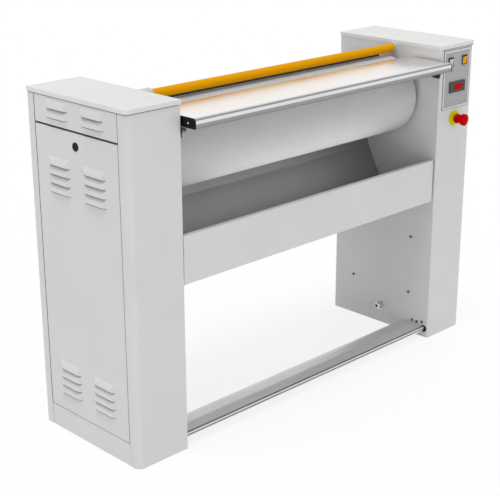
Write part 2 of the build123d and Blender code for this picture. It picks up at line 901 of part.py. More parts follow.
with BuildPart() as motor_shelf:
    shelf_far_x = gearbox_x + gearbox_width + shelf_nose
    with BuildSketch(Plane.XZ.offset(-drive_y - shelf_reach)):
        bent_strip(
            (
                (-shelf_far_x, shelf_top),
                (-works_x, shelf_top),
                (-works_x, shelf_top - shelf_leg),
            ),
            shelf_thickness + sheet,
            shelf_thickness,
            Side.RIGHT,
        )
    extrude(amount=2 * shelf_reach)
    for start_y in (drive_y - shelf_reach, drive_y + shelf_reach - shelf_thickness):
        with BuildSketch(Plane.XZ.offset(-start_y - shelf_thickness)):
            with BuildLine():
                Polyline(
                    (-works_x - shelf_thickness, shelf_top - shelf_leg),
                    (-works_x - shelf_thickness, shelf_top - shelf_thickness),
                    (-shelf_far_x, shelf_top - shelf_thickness),
                    close=True,
                )
            make_face()
        extrude(amount=shelf_thickness)
    with BuildSketch(Plane.XY.offset(shelf_top - 2 * shelf_thickness)):
        with Locations((-gearbox_mid_x, drive_y)):
            Circle(gearbox_spigot_r + running_gap)
    extrude(amount=3 * shelf_thickness, mode=Mode.SUBTRACT)
motor_shelf.part.label = "motor_shelf"
export_step(motor_shelf.part, "parts/motor_shelf.step")

with BuildPart() as drive_motor:
    motor_top = shelf_top - shelf_thickness
    for top, radius, height in (
        (motor_top, motor_flange_r, motor_flange),
        (motor_top - motor_flange, motor_r, motor_length),
        (motor_top - motor_flange - motor_length, fan_cowl_r, fan_cowl),
    ):
        with BuildSketch(Plane.XY.offset(top - height)):
            with Locations((-gearbox_mid_x, drive_y)):
                Circle(radius)
        extrude(amount=height)
    chamfer(edges().group_by(Axis.Z)[0], bend_r)
    box_y = drive_y + motor_r + terminal_box_depth / 2
    with Locations((-gearbox_mid_x, box_y - motor_flange / 2, motor_top - motor_flange - motor_length / 2)):
        Box(terminal_box_width, terminal_box_depth + motor_flange, terminal_box_height)
drive_motor.part.label = "drive_motor"
export_step(drive_motor.part, "parts/drive_motor.step")

# Heated trough: casting, heaters, insulation and casing between two end arms on one shaft
heater_mid_r = trough_r + trough_wall / 2
heater_step = math.radians(trough_high_angle - trough_low_angle) / heater_count
heater_places = []
for n in range(heater_count):
    heater_turn = math.radians(trough_low_angle) + (n + 0.5) * heater_step
    heater_places.append((
        roller_y + heater_mid_r * math.cos(heater_turn),
        roller_z + heater_mid_r * math.sin(heater_turn),
    ))

with BuildPart() as trough_casting:
    with BuildSketch(Plane.YZ.offset(-trough_half)):
        sector((roller_y, roller_z), trough_r, trough_back_r, trough_low_angle, trough_high_angle)
        fillet(vertices(), nose_r)
        with Locations(*heater_places):
            Circle(heater_r + fit_gap, mode=Mode.SUBTRACT)
    extrude(amount=2 * trough_half)
trough_casting.part.label = "trough_casting"
export_step(trough_casting.part, "parts/trough_casting.step")

with BuildPart() as heating_rods:
    disc_along_x(-trough_half, 2 * trough_half, heater_places, heater_r)
heating_rods.part.label = "heating_rods"
export_step(heating_rods.part, "parts/heating_rods.step")

casing_turn = math.degrees(casing_thickness / casing_r)
with BuildPart() as trough_insulation:
    with BuildSketch(Plane.YZ.offset(-trough_half)):
        sector((roller_y, roller_z), insulation_r, casing_r - fit_gap,
               trough_low_angle + 2 * casing_turn, casing_high_angle - 2 * casing_turn)
    extrude(amount=2 * trough_half)
trough_insulation.part.label = "trough_insulation"
export_step(trough_insulation.part, "parts/trough_insulation.step")

with BuildPart() as trough_casing:
    with BuildSketch(Plane.YZ.offset(-trough_half)):
        sector((roller_y, roller_z), insulation_r, casing_r + casing_thickness,
               trough_low_angle, casing_high_angle)
        with BuildSketch(mode=Mode.SUBTRACT):
            sector((roller_y, roller_z), insulation_r - overrun, casing_r,
                   trough_low_angle + casing_turn, casing_high_angle - casing_turn)
    extrude(amount=2 * trough_half)
trough_casing.part.label = "trough_casing"
export_step(trough_casing.part, "parts/trough_casing.step")

arm_neck = (
    roller_y + casing_r * math.cos(math.radians(arm_neck_angle)),
    roller_z + casing_r * math.sin(math.radians(arm_neck_angle)),
)
with BuildPart() as trough_arms:
    for start in (-trough_half - arm_thickness, trough_half):
        with BuildSketch(Plane.YZ.offset(start)):
            with BuildLine() as rounds:
                CenterArc((pivot_y, pivot_z), arm_hub_r, 0, 360)
                CenterArc(arm_neck, arm_neck_r, 0, 360)
            make_hull(rounds.edges())
            with BuildSketch(mode=Mode.SUBTRACT):
                with Locations((roller_y, roller_z)):
                    Circle(trough_back_r)
            sector((roller_y, roller_z), trough_r + nose_r, casing_r + casing_thickness,
                   trough_low_angle, casing_high_angle)
            with Locations((pivot_y, pivot_z)):
                Circle(pivot_r + running_gap, mode=Mode.SUBTRACT)
        extrude(amount=arm_thickness)
trough_arms.part.label = "trough_arms"
export_step(trough_arms.part, "parts/trough_arms.step")

with BuildPart() as trough_shaft:
    shaft_left = lever_x + lever_thickness
    shaft_right = works_x + bush_flange + lever_gap
    disc_along_x(-shaft_left, shaft_left + shaft_right, pivot_place, pivot_r)
    with BuildSketch(Plane.YZ.offset(-lever_x - lever_thickness)):
        with BuildLine() as rounds:
            CenterArc((pivot_y, pivot_z), trough_lever_hub_r, 0, 360)
            CenterArc(link_high, lever_end_r, 0, 360)
        make_hull(rounds.edges())
    extrude(amount=lever_thickness)
    pin_length = link_side_gap + link_eye_width + lever_gap
    disc_along_x(-lever_x - lever_thickness - pin_length, pin_length, [link_high], link_pin_r)
trough_shaft.part.label = "trough_shaft"
export_step(trough_shaft.part, "parts/trough_shaft.step")

with BuildPart() as trough_bushes:
    for side in (-1, 1):
        bay_x = inner_x - bush_flange if side > 0 else -inner_x
        neck_length = bush_flange + sheet + frame_plate
        neck_x = inner_x - bush_flange if side > 0 else -inner_x + bush_flange - neck_length
        disc_along_x(bay_x, bush_flange, pivot_place, bush_flange_r)
        disc_along_x(neck_x, neck_length, pivot_place, pivot_r + bush_wall)
        cut_along_x(neck_x - overrun, neck_length + 2 * overrun, pivot_place, pivot_r + running_gap)
trough_bushes.part.label = "trough_bushes"
export_step(trough_bushes.part, "parts/trough_bushes.step")

# Pedal: plate, rod with its lever, bushes and the rod that works the trough
with BuildPart() as pedal_rod:
    rod_left = lever_x + lever_thickness
    rod_right = plate_x + pedal_bush_flange + lever_gap
    disc_along_x(-rod_left, rod_left + rod_right, pedal_place, pedal_rod_r)
    with BuildSketch(Plane.YZ.offset(-lever_x - lever_thickness)):
        with BuildLine() as rounds:
            CenterArc((pedal_y, pedal_z), lever_hub_r, 0, 360)
            CenterArc(link_low, lever_end_r, 0, 360)
        make_hull(rounds.edges())
    extrude(amount=lever_thickness)
    disc_along_x(-lever_x - lever_thickness - pin_length, pin_length, [link_low], link_pin_r)
pedal_rod.part.label = "pedal_rod"
export_step(pedal_rod.part, "parts/pedal_rod.step")

with BuildPart() as pedal_plate:
    pedal_half = inner_x - pedal_bush_flange - pedal_side_gap
    sheet_low = pedal_rod_r + fit_gap
    with BuildSketch(Plane.YZ.offset(-pedal_half)):
        bent_strip(
            (
                (pedal_y, pedal_z + sheet_low),
                (pedal_y + pedal_crest, pedal_z + pedal_rise),
                (pedal_y + pedal_knee, pedal_z + pedal_rise - pedal_sheet),
                (pedal_y + pedal_reach, pedal_z - pedal_tail_drop),
            ),
            pedal_bend_r,
            pedal_sheet,
            Side.LEFT,
        )
        sector((pedal_y, pedal_z), sheet_low, sheet_low + pedal_sheet, 0, pedal_wrap)
    extrude(amount=2 * pedal_half)
pedal_plate.part.label = "pedal_plate"
export_step(pedal_plate.part, "parts/pedal_plate.step")

with BuildPart() as pedal_bushes:
    for side in (-1, 1):
        bush_length = 2 * pedal_bush_flange + sheet
        bush_x = inner_x - pedal_bush_flange if side > 0 else -plate_x - pedal_bush_flange
        disc_along_x(bush_x, pedal_bush_flange, pedal_place, pedal_bush_r)
        disc_along_x(bush_x + pedal_bush_flange, sheet, pedal_place, pedal_bush_neck_r)
        disc_along_x(bush_x + pedal_bush_flange + sheet, pedal_bush_flange, pedal_place, pedal_bush_r)
        cut_along_x(bush_x - overrun, bush_length + 2 * overrun, pedal_place, pedal_rod_r + running_gap)
pedal_bushes.part.label = "pedal_bushes"
export_step(pedal_bushes.part, "parts/pedal_bushes.step")

with BuildPart() as pull_rod:
    link_run = (link_high[0] - link_low[0], link_high[1] - link_low[1])
    link_length = math.hypot(*link_run)
    link_mid_x = -link_x - link_eye_width / 2
    link_plane = Plane(
        origin=(link_mid_x, link_low[0], link_low[1]),
        x_dir=(1, 0, 0),
        z_dir=(0, link_run[0], link_run[1]),
    )
    with BuildSketch(link_plane):
        Circle(link_rod_r)
    extrude(amount=link_length)
    disc_along_x(-link_x - link_eye_width, link_eye_width, [link_low, link_high], link_eye_r)
    cut_along_x(-link_x - link_eye_width - overrun, link_eye_width + 2 * overrun,
                [link_low], link_pin_r + running_gap)
    cut_along_x(-link_x - link_eye_width - overrun, link_eye_width + 2 * overrun,
                [link_high], link_pin_r + link_pin_gap)
pull_rod.part.label = "pull_rod"
export_step(pull_rod.part, "parts/pull_rod.step")

# Finger guard bar above the nip, its rubber lip and the bosses that carry it
bar_left = -inner_x + left_boss_length + bar_end_gap
bar_right = inner_x - right_boss_length - bar_end_gap
lip_half = -bar_left - lip_end_inset
with BuildPart() as guard_bar:
    disc_along_x(bar_left, bar_right - bar_left, bar_place, bar_r)
    chamfer(edges().filter_by(GeomType.CIRCLE), bar_end_chamfer)
    disc_along_x(-works_x, 2 * works_x, bar_place, bar_pin_r)
    with Locations((0, bar_y, bar_z - bar_r)):
        Box(2 * lip_half, lip_width, 2 * lip_root, mode=Mode.SUBTRACT)
guard_bar.part.label = "guard_bar"
export_step(guard_bar.part, "parts/guard_bar.step")

with BuildPart() as guard_lip:
    with Locations((0, bar_y, bar_z - bar_r - (lip_drop - lip_root) / 2)):
        Box(2 * lip_half, lip_width, lip_drop + lip_root)
    chamfer(edges().filter_by(Axis.X).group_by(Axis.Z)[0], lip_chamfer)
guard_lip.part.label = "guard_lip"
export_step(guard_lip.part, "parts/guard_lip.step")

with BuildPart() as bar_bosses:
    for start, length, radius in (
        (-inner_x, left_boss_length, left_boss_r),
        (inner_x - right_boss_length, right_boss_length, right_boss_r),
    ):
        disc_along_x(start, length, bar_place, radius)
        cut_along_x(start - overrun, length + 2 * overrun, bar_place, bar_pin_r + running_gap)
    for side in (-1, 1):
        with Locations((side * inner_x, bar_y, body_height - slide_gap)):
            Box(
                2 * (lid_overhang + slide_gap),
                4 * left_boss_r,
                lid_height,
                align=(Align.CENTER, Align.CENTER, Align.MIN),
                mode=Mode.SUBTRACT,
            )
bar_bosses.part.label = "bar_bosses"
export_step(bar_bosses.part, "parts/bar_bosses.step")

# Feed table: a folded sheet, its front profile, end caps and the brackets on the inner walls
with BuildPart() as feed_table:
    table_front_y = profile_front_y + profile_depth
    with BuildSketch(Plane.YZ.offset(-table_half)):
        bent_strip(
            (
                (table_front_y, table_top - table_front_flange),
                (table_front_y, table_top),
                (table_back_y, table_top),
                (table_back_y, table_top - table_back_flange),
            ),
            bend_r,
            table_sheet,
            Side.RIGHT,
        )
    extrude(amount=2 * table_half)
feed_table.part.label = "feed_table"
export_step(feed_table.part, "parts/feed_table.step")

with BuildPart() as table_edge_profile:
    profile_bottom = table_top - profile_height
    with BuildSketch(Plane.YZ.offset(-table_half)):
        with BuildLine():
            FilletPolyline(
                (profile_front_y, profile_bottom),
                (profile_front_y, table_top),
                (table_front_y, table_top),
                (table_front_y, profile_bottom),
                radius=(edge_round, profile_round, slide_gap, edge_round),
                close=True,
            )
        make_face()
        with Locations((profile_front_y, table_top - profile_groove_drop)):
            Rectangle(4 * profile_groove, profile_groove, mode=Mode.SUBTRACT)
    extrude(amount=2 * table_half)
table_edge_profile.part.label = "table_edge_profile"
export_step(table_edge_profile.part, "parts/table_edge_profile.step")

with BuildPart() as table_end_caps:
    for start in (-table_half - cap_thickness, table_half):
        with BuildSketch(Plane.YZ.offset(start)):
            with BuildLine():
                FilletPolyline(
                    (profile_front_y, profile_bottom),
                    (profile_front_y, table_top),
                    (profile_front_y + cap_depth, table_top),
                    (profile_front_y + cap_depth, profile_bottom),
                    radius=(edge_round, cap_round, edge_round, edge_round),
                    close=True,
                )
            make_face()
        extrude(amount=cap_thickness)
table_end_caps.part.label = "table_end_caps"
export_step(table_end_caps.part, "parts/table_end_caps.step")

with BuildPart() as table_brackets:
    bracket_top = table_top - table_sheet
    bracket_front_y = profile_front_y + cap_depth + slide_gap
    bracket_nose_y = profile_front_y + bracket_nose_setback
    bracket_toe_y = profile_front_y + bracket_toe_setback
    bracket_heel_y = profile_front_y + bracket_heel_setback
    bracket_back_y = table_back_y - bracket_back_gap
    bracket_slot = (profile_front_y + bracket_slot_setback, table_top - bracket_slot_drop)
    for side in (-1, 1):
        plate_start = -inner_x if side < 0 else inner_x - bracket_sheet
        with BuildSketch(Plane.YZ.offset(plate_start)):
            with BuildLine():
                Polyline(
                    (bracket_front_y, bracket_top),
                    (bracket_back_y, bracket_top),
                    (bracket_back_y, bracket_top - bracket_back_height),
                    (bracket_heel_y, bracket_top - bracket_drop),
                    (bracket_toe_y, bracket_top - bracket_drop),
                    (bracket_nose_y, profile_bottom - bracket_nose_height),
                    (bracket_nose_y, profile_bottom - slide_gap),
                    (bracket_front_y, profile_bottom - slide_gap),
                    close=True,
                )
            make_face()
            with Locations(Location(bracket_slot, -bracket_slot_angle)):
                SlotOverall(bracket_slot_length, bracket_slot_width, mode=Mode.SUBTRACT)
        extrude(amount=bracket_sheet)
        with Locations((
            side * (inner_x - bracket_leg / 2),
            (bracket_heel_y + bracket_back_y) / 2,
            bracket_top - bracket_sheet / 2,
        )):
            Box(bracket_leg, bracket_back_y - bracket_heel_y, bracket_sheet)
table_brackets.part.label = "table_brackets"
export_step(table_brackets.part, "parts/table_brackets.step")

# Linen tray, its white front, the rear cover and the beam between the cabinets
with BuildPart() as tray_front_panel:
    tray_front_half = inner_x - tray_front_gap
    with BuildSketch(Plane.YZ.offset(-tray_front_half)):
        bent_strip(
            (
                (tray_back_of_front, tray_front_bottom),
                (tray_front_y, tray_front_bottom),
                (tray_front_y, tray_front_top),
                (tray_back_of_front, tray_front_top),
            ),
            bend_r,
            sheet,
            Side.RIGHT,
        )
    extrude(amount=2 * tray_front_half)
tray_front_panel.part.label = "tray_front_panel"
export_step(tray_front_panel.part, "parts/tray_front_panel.step")

with BuildPart() as collecting_tray:
    tray_half = inner_x - tray_end_gap
    tray_heel_z = tray_front_bottom + tray_heel_lift
    with BuildSketch(Plane.YZ.offset(-tray_half)):
        bent_strip(
            (
                (tray_back_of_front, tray_front_top),
                (tray_back_of_front, tray_heel_z),
                (roller_y + tray_heel_setback, tray_heel_z),
                (pivot_y - tray_fold_gap, tray_front_top + tray_fold_rise),
                (pivot_y - tray_back_gap, tray_back_z),
            ),
            (tray_toe_r, tray_heel_r, tray_toe_r),
            tray_sheet,
            Side.LEFT,
        )
    extrude(amount=2 * tray_half)
collecting_tray.part.label = "collecting_tray"
export_step(collecting_tray.part, "parts/collecting_tray.step")

with BuildPart() as rear_cover:
    cover_y = back_y - rear_cover_inset
    cover_low = tray_front_top - rear_cover_sink
    cover_high = body_height - rear_cover_drop
    with BuildSketch(Plane.YZ.offset(-tray_half)):
        bent_strip(
            (
                (cover_y - rear_cover_flange, cover_low),
                (cover_y, cover_low),
                (cover_y, cover_high),
                (cover_y - rear_cover_flange, cover_high),
            ),
            bend_r,
            sheet,
            Side.LEFT,
        )
    extrude(amount=2 * tray_half)
rear_cover.part.label = "rear_cover"
export_step(rear_cover.part, "parts/rear_cover.step")

with BuildPart() as rear_tie_beam:
    with BuildSketch(Plane.YZ.offset(-inner_x)):
        with Locations((back_y - tie_inset - tie_depth / 2, tray_front_bottom - tie_drop)):
            RectangleRounded(tie_depth, tie_height, 2 * tie_wall)
            offset(amount=-tie_wall, mode=Mode.SUBTRACT)
    extrude(amount=2 * inner_x)
rear_tie_beam.part.label = "rear_tie_beam"
export_step(rear_tie_beam.part, "parts/rear_tie_beam.step")


def plate_on_front(start, width, height, corner, places, mode=Mode.ADD, depth=sheet):
    """Rounded plates facing the front, from a start in Y to a depth behind it."""
    with BuildSketch(Plane.XZ.offset(-start - depth)) as plates:
        with Locations(*places):
            RectangleRounded(width, height, corner)
    extrude(plates.sketch, amount=depth, mode=mode)


def discs_on_front(start, depth, radius, mode=Mode.ADD):
    """A round plate on the stop button's axis, from a start in Y to a depth behind it."""
    with BuildSketch(Plane.XZ.offset(-start - depth)) as disc:
        with Locations((stop_x, stop_z)):
            Circle(radius)
    extrude(disc.sketch, amount=depth, mode=mode)


# Controls on the right cabinet's front
switch_places = ((switch_1_x, switch_z), (switch_2_x, switch_z))
controller_places = ((controller_x, controller_z),)
readout_places = ((controller_x + readout_shift, controller_z - readout_sink),)
panel_y = front_y - plate_thickness
controller_body_width = controller_width - 2 * controller_step
controller_body_height = controller_height - 2 * controller_step
switch_body_width = switch_width - 2 * switch_step
switch_body_height = switch_height - 2 * switch_step
switch_hole_width = switch_width - 2 * switch_rim
switch_hole_height = switch_height - 2 * switch_rim

with BuildPart() as control_plate:
    plate_on_front(
        panel_y,
        plate_width,
        plate_height,
        plate_round,
        ((plate_left + plate_width / 2, plate_bottom + plate_height / 2),),
        depth=plate_thickness,
    )
    plate_on_front(
        panel_y,
        controller_body_width + 2 * cutout_gap,
        controller_body_height + 2 * cutout_gap,
        cutout_gap,
        controller_places,
        Mode.SUBTRACT,
        depth=plate_thickness,
    )
    plate_on_front(
        panel_y,
        switch_body_width + 2 * cutout_gap,
        switch_body_height + 2 * cutout_gap,
        cutout_gap,
        switch_places,
        Mode.SUBTRACT,
        depth=plate_thickness,
    )
control_plate.part.label = "control_plate"
export_step(control_plate.part, "parts/control_plate.step")

with BuildPart() as temperature_controller:
    controller_face_y = panel_y - controller_proud
    plate_on_front(
        controller_face_y,
        controller_width,
        controller_height,
        edge_round,
        controller_places,
        depth=controller_proud,
    )
    plate_on_front(
        panel_y,
        controller_body_width,
        controller_body_height,
        edge_round,
        controller_places,
        depth=controller_depth,
    )
    plate_on_front(
        controller_face_y,
        readout_width,
        readout_height,
        edge_round,
        readout_places,
        Mode.SUBTRACT,
        depth=readout_thickness,
    )
temperature_controller.part.label = "temperature_controller"
export_step(temperature_controller.part, "parts/temperature_controller.step")

with BuildPart() as controller_window:
    plate_on_front(
        controller_face_y,
        readout_width,
        readout_height,
        edge_round,
        readout_places,
        depth=readout_thickness,
    )
controller_window.part.label = "controller_window"
export_step(controller_window.part, "parts/controller_window.step")

with BuildPart() as switch_bezels:
    switch_face_y = panel_y - switch_proud
    plate_on_front(
        switch_face_y,
        switch_width,
        switch_height,
        switch_step,
        switch_places,
        depth=switch_proud,
    )
    plate_on_front(
        panel_y,
        switch_body_width,
        switch_body_height,
        cutout_gap,
        switch_places,
        depth=switch_depth,
    )
    plate_on_front(
        switch_face_y,
        switch_hole_width,
        switch_hole_height,
        cutout_gap,
        switch_places,
        Mode.SUBTRACT,
        depth=switch_hole_depth,
    )
switch_bezels.part.label = "switch_bezels"
export_step(switch_bezels.part, "parts/switch_bezels.step")

rocker_y = switch_face_y + rocker_pivot_depth
rocker_half_height = switch_hole_height / 2 - rocker_end_gap
rocker_width = switch_hole_width - 2 * rocker_gap
rocker_root_half = rocker_root_share * rocker_half_height
turn = math.radians(rocker_tilt)
rocker_outline = [
    (
        rocker_y + inward * math.cos(turn) - up * math.sin(turn),
        switch_z + inward * math.sin(turn) + up * math.cos(turn),
    )
    for inward, up in (
        (-rocker_face - rocker_dish, rocker_half_height),
        (-rocker_face, 0),
        (-rocker_face - rocker_dish, -rocker_half_height),
        (rocker_root, -rocker_root_half),
        (rocker_root, rocker_root_half),
    )
]

with BuildPart() as heat_rocker:
    with BuildSketch(Plane.YZ.offset(switch_1_x - rocker_width / 2)):
        with BuildLine():
            Polyline(*rocker_outline, close=True)
        make_face()
    extrude(amount=rocker_width)
heat_rocker.part.label = "heat_rocker"
export_step(heat_rocker.part, "parts/heat_rocker.step")

with BuildPart() as power_rocker:
    with BuildSketch(Plane.YZ.offset(switch_2_x - rocker_width / 2)):
        with BuildLine():
            Polyline(*rocker_outline, close=True)
        make_face()
    extrude(amount=rocker_width)
power_rocker.part.label = "power_rocker"
export_step(power_rocker.part, "parts/power_rocker.step")

# Emergency stop: collar on the cabinet, a sliding stem and a head that turns on it
with BuildPart() as estop_collar:
    discs_on_front(front_y - stop_disc, stop_disc, stop_disc_r)
    discs_on_front(front_y - stop_disc - stop_nut, stop_nut, stop_nut_r)
    discs_on_front(front_y, stop_barrel, stop_barrel_r)
    discs_on_front(
        front_y - stop_disc - stop_nut,
        stop_disc + stop_nut + stop_stem_depth + stop_travel + stop_end_gap,
        stop_stem_r + running_gap,
        Mode.SUBTRACT,
    )
estop_collar.part.label = "estop_collar"
export_step(estop_collar.part, "parts/estop_collar.step")

stop_bore_end = stop_collar_start + stop_bore_depth
with BuildPart() as estop_stem:
    discs_on_front(front_y - stop_bore_end, stop_bore_end + stop_stem_depth, stop_stem_r)
estop_stem.part.label = "estop_stem"
export_step(estop_stem.part, "parts/estop_stem.step")

with BuildPart() as estop_head:
    stop_plane = Plane(origin=(stop_x, front_y, stop_z), x_dir=(1, 0, 0), z_dir=(0, 0, 1))
    head_end = stop_head_start + stop_head
    dome_r = (stop_head_r**2 + stop_dome**2) / (2 * stop_dome)
    with BuildSketch(stop_plane):
        with BuildLine():
            Polyline(
                (0, -stop_collar_start),
                (stop_collar_r, -stop_collar_start),
                (stop_collar_r, -stop_collar_start - stop_collar),
                (stop_waist_r, -stop_collar_start - stop_collar - stop_flare),
                (stop_waist_r, -stop_head_start + stop_head_flare),
                (stop_head_r, -stop_head_start),
                (stop_head_r, -head_end),
            )
            RadiusArc((stop_head_r, -head_end), (0, -head_end - stop_dome), dome_r)
            Line((0, -head_end - stop_dome), (0, -stop_collar_start))
        make_face()
    revolve(axis=Axis((stop_x, front_y, stop_z), (0, 1, 0)))
    discs_on_front(front_y - stop_bore_end, stop_bore_depth, stop_stem_r + running_gap, Mode.SUBTRACT)
estop_head.part.label = "estop_head"
export_step(estop_head.part, "parts/estop_head.step")

# Electrical plate in the right cabinet with its contactors on a rail
board_x = works_x + board_standoff
with BuildPart() as electrical_plate:
    board_mid_z = pivot_z - board_drop + board_height / 2
    with Locations((board_x + board_thickness / 2, 0, board_mid_z)):
        Box(board_thickness, board_width, board_height)
    disc_along_x(
        works_x,
        board_standoff,
        [
            (side * (board_width / 2 - board_inset), board_mid_z + level * (board_height / 2 - board_inset))
            for side in (-1, 1)
            for level in (-1, 1)
        ],
        standoff_r,
    )
    with Locations((board_x + board_thickness + rail_depth / 2, 0, board_mid_z)):
        Box(rail_depth, board_width - 2 * board_inset, rail_width)
electrical_plate.part.label = "electrical_plate"
export_step(electrical_plate.part, "parts/electrical_plate.step")

with BuildPart() as contactors:
    contactor_x = board_x + board_thickness + rail_depth
    for n in range(contactor_count):
        middle_y = (n - (contactor_count - 1) / 2) * contactor_pitch
        with Locations((contactor_x + contactor_depth / 2, middle_y, board_mid_z)):
            Box(contactor_depth, contactor_width, contactor_height)
        for level in (-1, 1):
            with Locations((
                contactor_x + contactor_depth,
                middle_y,
                board_mid_z + level * (contactor_height - contactor_waist) / 2,
            )):
                Box(2 * contactor_step, contactor_width, contactor_waist, mode=Mode.SUBTRACT)
contactors.part.label = "contactors"
export_step(contactors.part, "parts/contactors.step")

# Cable gland through the right cabinet's inner wall
with BuildPart() as cable_gland:
    for start, length in ((inner_x - gland_hex, gland_hex), (plate_x, gland_back_nut)):
        with BuildSketch(Plane.YZ.offset(start)):
            with Locations((gland_y, gland_z)):
                RegularPolygon(gland_hex_r, 6)
        extrude(amount=length)
    disc_along_x(inner_x - gland_hex - gland_nut, gland_nut, gland_place, gland_nut_r)
    chamfer(edges().filter_by(GeomType.CIRCLE).group_by(Axis.X)[0], gland_nose)
    disc_along_x(inner_x, sheet + gland_back_nut + gland_nose, gland_place, gland_thread_r)
    cut_along_x(
        inner_x - gland_hex - gland_nut - overrun,
        gland_hex + gland_nut + sheet + gland_back_nut + gland_nose + 2 * overrun,
        gland_place,
        gland_bore_r,
    )
cable_gland.part.label = "cable_gland"
export_step(cable_gland.part, "parts/cable_gland.step")
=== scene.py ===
import bmesh
import bpy
from math import atan2, cos, pi, radians, sin
from mathutils import Matrix, Quaternion, Vector


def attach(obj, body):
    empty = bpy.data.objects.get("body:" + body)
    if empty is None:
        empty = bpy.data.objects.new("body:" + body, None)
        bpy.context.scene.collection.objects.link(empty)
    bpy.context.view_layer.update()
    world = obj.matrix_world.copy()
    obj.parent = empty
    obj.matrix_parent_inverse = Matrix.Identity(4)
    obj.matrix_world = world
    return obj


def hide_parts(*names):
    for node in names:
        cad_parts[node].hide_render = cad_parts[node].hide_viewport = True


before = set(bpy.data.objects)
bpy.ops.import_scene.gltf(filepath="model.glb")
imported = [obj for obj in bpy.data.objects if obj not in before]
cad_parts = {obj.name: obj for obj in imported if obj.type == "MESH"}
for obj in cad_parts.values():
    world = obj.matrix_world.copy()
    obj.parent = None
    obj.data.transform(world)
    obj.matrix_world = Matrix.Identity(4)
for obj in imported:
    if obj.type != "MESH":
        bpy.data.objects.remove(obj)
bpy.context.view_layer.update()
print("frame loaded")

# The camera stands where the photograph was taken from
cameraView = {
    "place": (-2.6271, -2.5807, 1.7278),
    "azimuth": -44.41,
    "elevation": 19.40,
    "roll": -0.17,
    "lens": 85.5,
    "sensor": 36.0,
    "nearest": 0.05,
}


def addCamera(view):
    azimuth, elevation = radians(view["azimuth"]), radians(view["elevation"])
    back = Vector((
        sin(azimuth) * cos(elevation),
        -cos(azimuth) * cos(elevation),
        sin(elevation),
    ))
    turned = back.to_track_quat("Z", "Y") @ Quaternion((0, 0, 1), radians(view["roll"]))
    data = bpy.data.cameras.new("photoCamera")
    data.lens = view["lens"]
    data.sensor_width = view["sensor"]
    data.clip_start = view["nearest"]
    camera = bpy.data.objects.new("photoCamera", data)
    camera.location = view["place"]
    camera.rotation_euler = turned.to_euler()
    bpy.context.scene.collection.objects.link(camera)
    bpy.context.scene.camera = camera


addCamera(cameraView)
print("camera placed")


# Small steps that the materials share
def startMaterial(name, colour, roughness, metallic=0.0):
    material = bpy.data.materials.new(name)
    material.use_nodes = True
    shader = material.node_tree.nodes["Principled BSDF"]
    shader.inputs["Base Color"].default_value = (*colour, 1)
    shader.inputs["Roughness"].default_value = roughness
    shader.inputs["Metallic"].default_value = metallic
    return material, material.node_tree, shader


def addNode(tree, kind, **values):
    node = tree.nodes.new("ShaderNode" + kind)
    for key, value in values.items():
        node.inputs[key.replace("_", " ")].default_value = value
    return node


def objectPlace(tree, stretch=(1, 1, 1)):
    place = addNode(tree, "TexCoord")
    mapping = addNode(tree, "Mapping", Scale=stretch)
    tree.links.new(place.outputs["Object"], mapping.inputs["Vector"])
    return mapping.outputs["Vector"]


def noiseField(tree, vector, scale, detail=2.0, rough=0.5):
    noise = addNode(tree, "TexNoise", Scale=scale, Detail=detail, Roughness=rough)
    tree.links.new(vector, noise.inputs["Vector"])
    return noise.outputs["Fac"]


def colourBand(tree, field, low, high, start=0.3, end=0.7):
    ramp = addNode(tree, "ValToRGB")
    for point, spot, colour in zip(ramp.color_ramp.elements, (start, end), (low, high)):
        point.position = spot
        point.color = (*colour, 1)
    tree.links.new(field, ramp.inputs["Fac"])
    return ramp.outputs["Color"]


def valueBand(tree, field, low, high, start=0.3, end=0.7):
    band = addNode(tree, "MapRange", From_Min=start, From_Max=end, To_Min=low, To_Max=high)
    tree.links.new(field, band.inputs["Value"])
    return band.outputs["Result"]


def joinFields(tree, operation, first, second):
    join = addNode(tree, "Math")
    join.operation = operation
    tree.links.new(first, join.inputs[0])
    if isinstance(second, float):
        join.inputs[1].default_value = second
    else:
        tree.links.new(second, join.inputs[1])
    return join.outputs["Value"]


def multiplyColours(tree, first, second):
    shade = addNode(tree, "Mix", Factor=1.0)
    shade.data_type = "RGBA"
    shade.blend_type = "MULTIPLY"
    tree.links.new(first, shade.inputs["A"])
    tree.links.new(second, shade.inputs["B"])
    return shade.outputs["Result"]


def tinted(colour, share):
    return tuple(min(1.0, part * share) for part in colour)


def tintOver(tree, shader, field, colour, shares):
    low, high = (tinted(colour, share) for share in shares)
    tree.links.new(colourBand(tree, field, low, high), shader.inputs["Base Color"])


def roughenOver(tree, shader, field, roughness, change):
    rough = valueBand(tree, field, roughness + change[0], roughness + change[1])
    tree.links.new(rough, shader.inputs["Roughness"])


def addBump(tree, shader, field, distance, strength=0.5):
    bump = addNode(tree, "Bump", Distance=distance, Strength=strength)
    tree.links.new(field, bump.inputs["Height"])
    tree.links.new(bump.outputs["Normal"], shader.inputs["Normal"])


# Kinds of finish; noise is given as scale, detail and roughness
coatLook = {
    "cloud": (4.0, 4.0),
    "tint": (0.965, 1.02),
    "rub": (22.0, 5.0, 0.6),
    "rough": (-0.05, 0.08),
    "bump": 0.00006,
}


def powderCoat(name, colour, roughness=0.42, grain=700, gloss=0.5):
    material, tree, shader = startMaterial(name, colour, roughness)
    shader.inputs["Specular IOR Level"].default_value = gloss
    vector = objectPlace(tree)
    tintOver(tree, shader, noiseField(tree, vector, *coatLook["cloud"]), colour, coatLook["tint"])
    rub = noiseField(tree, vector, *coatLook["rub"])
    roughenOver(tree, shader, rub, roughness, coatLook["rough"])
    addBump(tree, shader, noiseField(tree, vector, grain), coatLook["bump"])
    return material


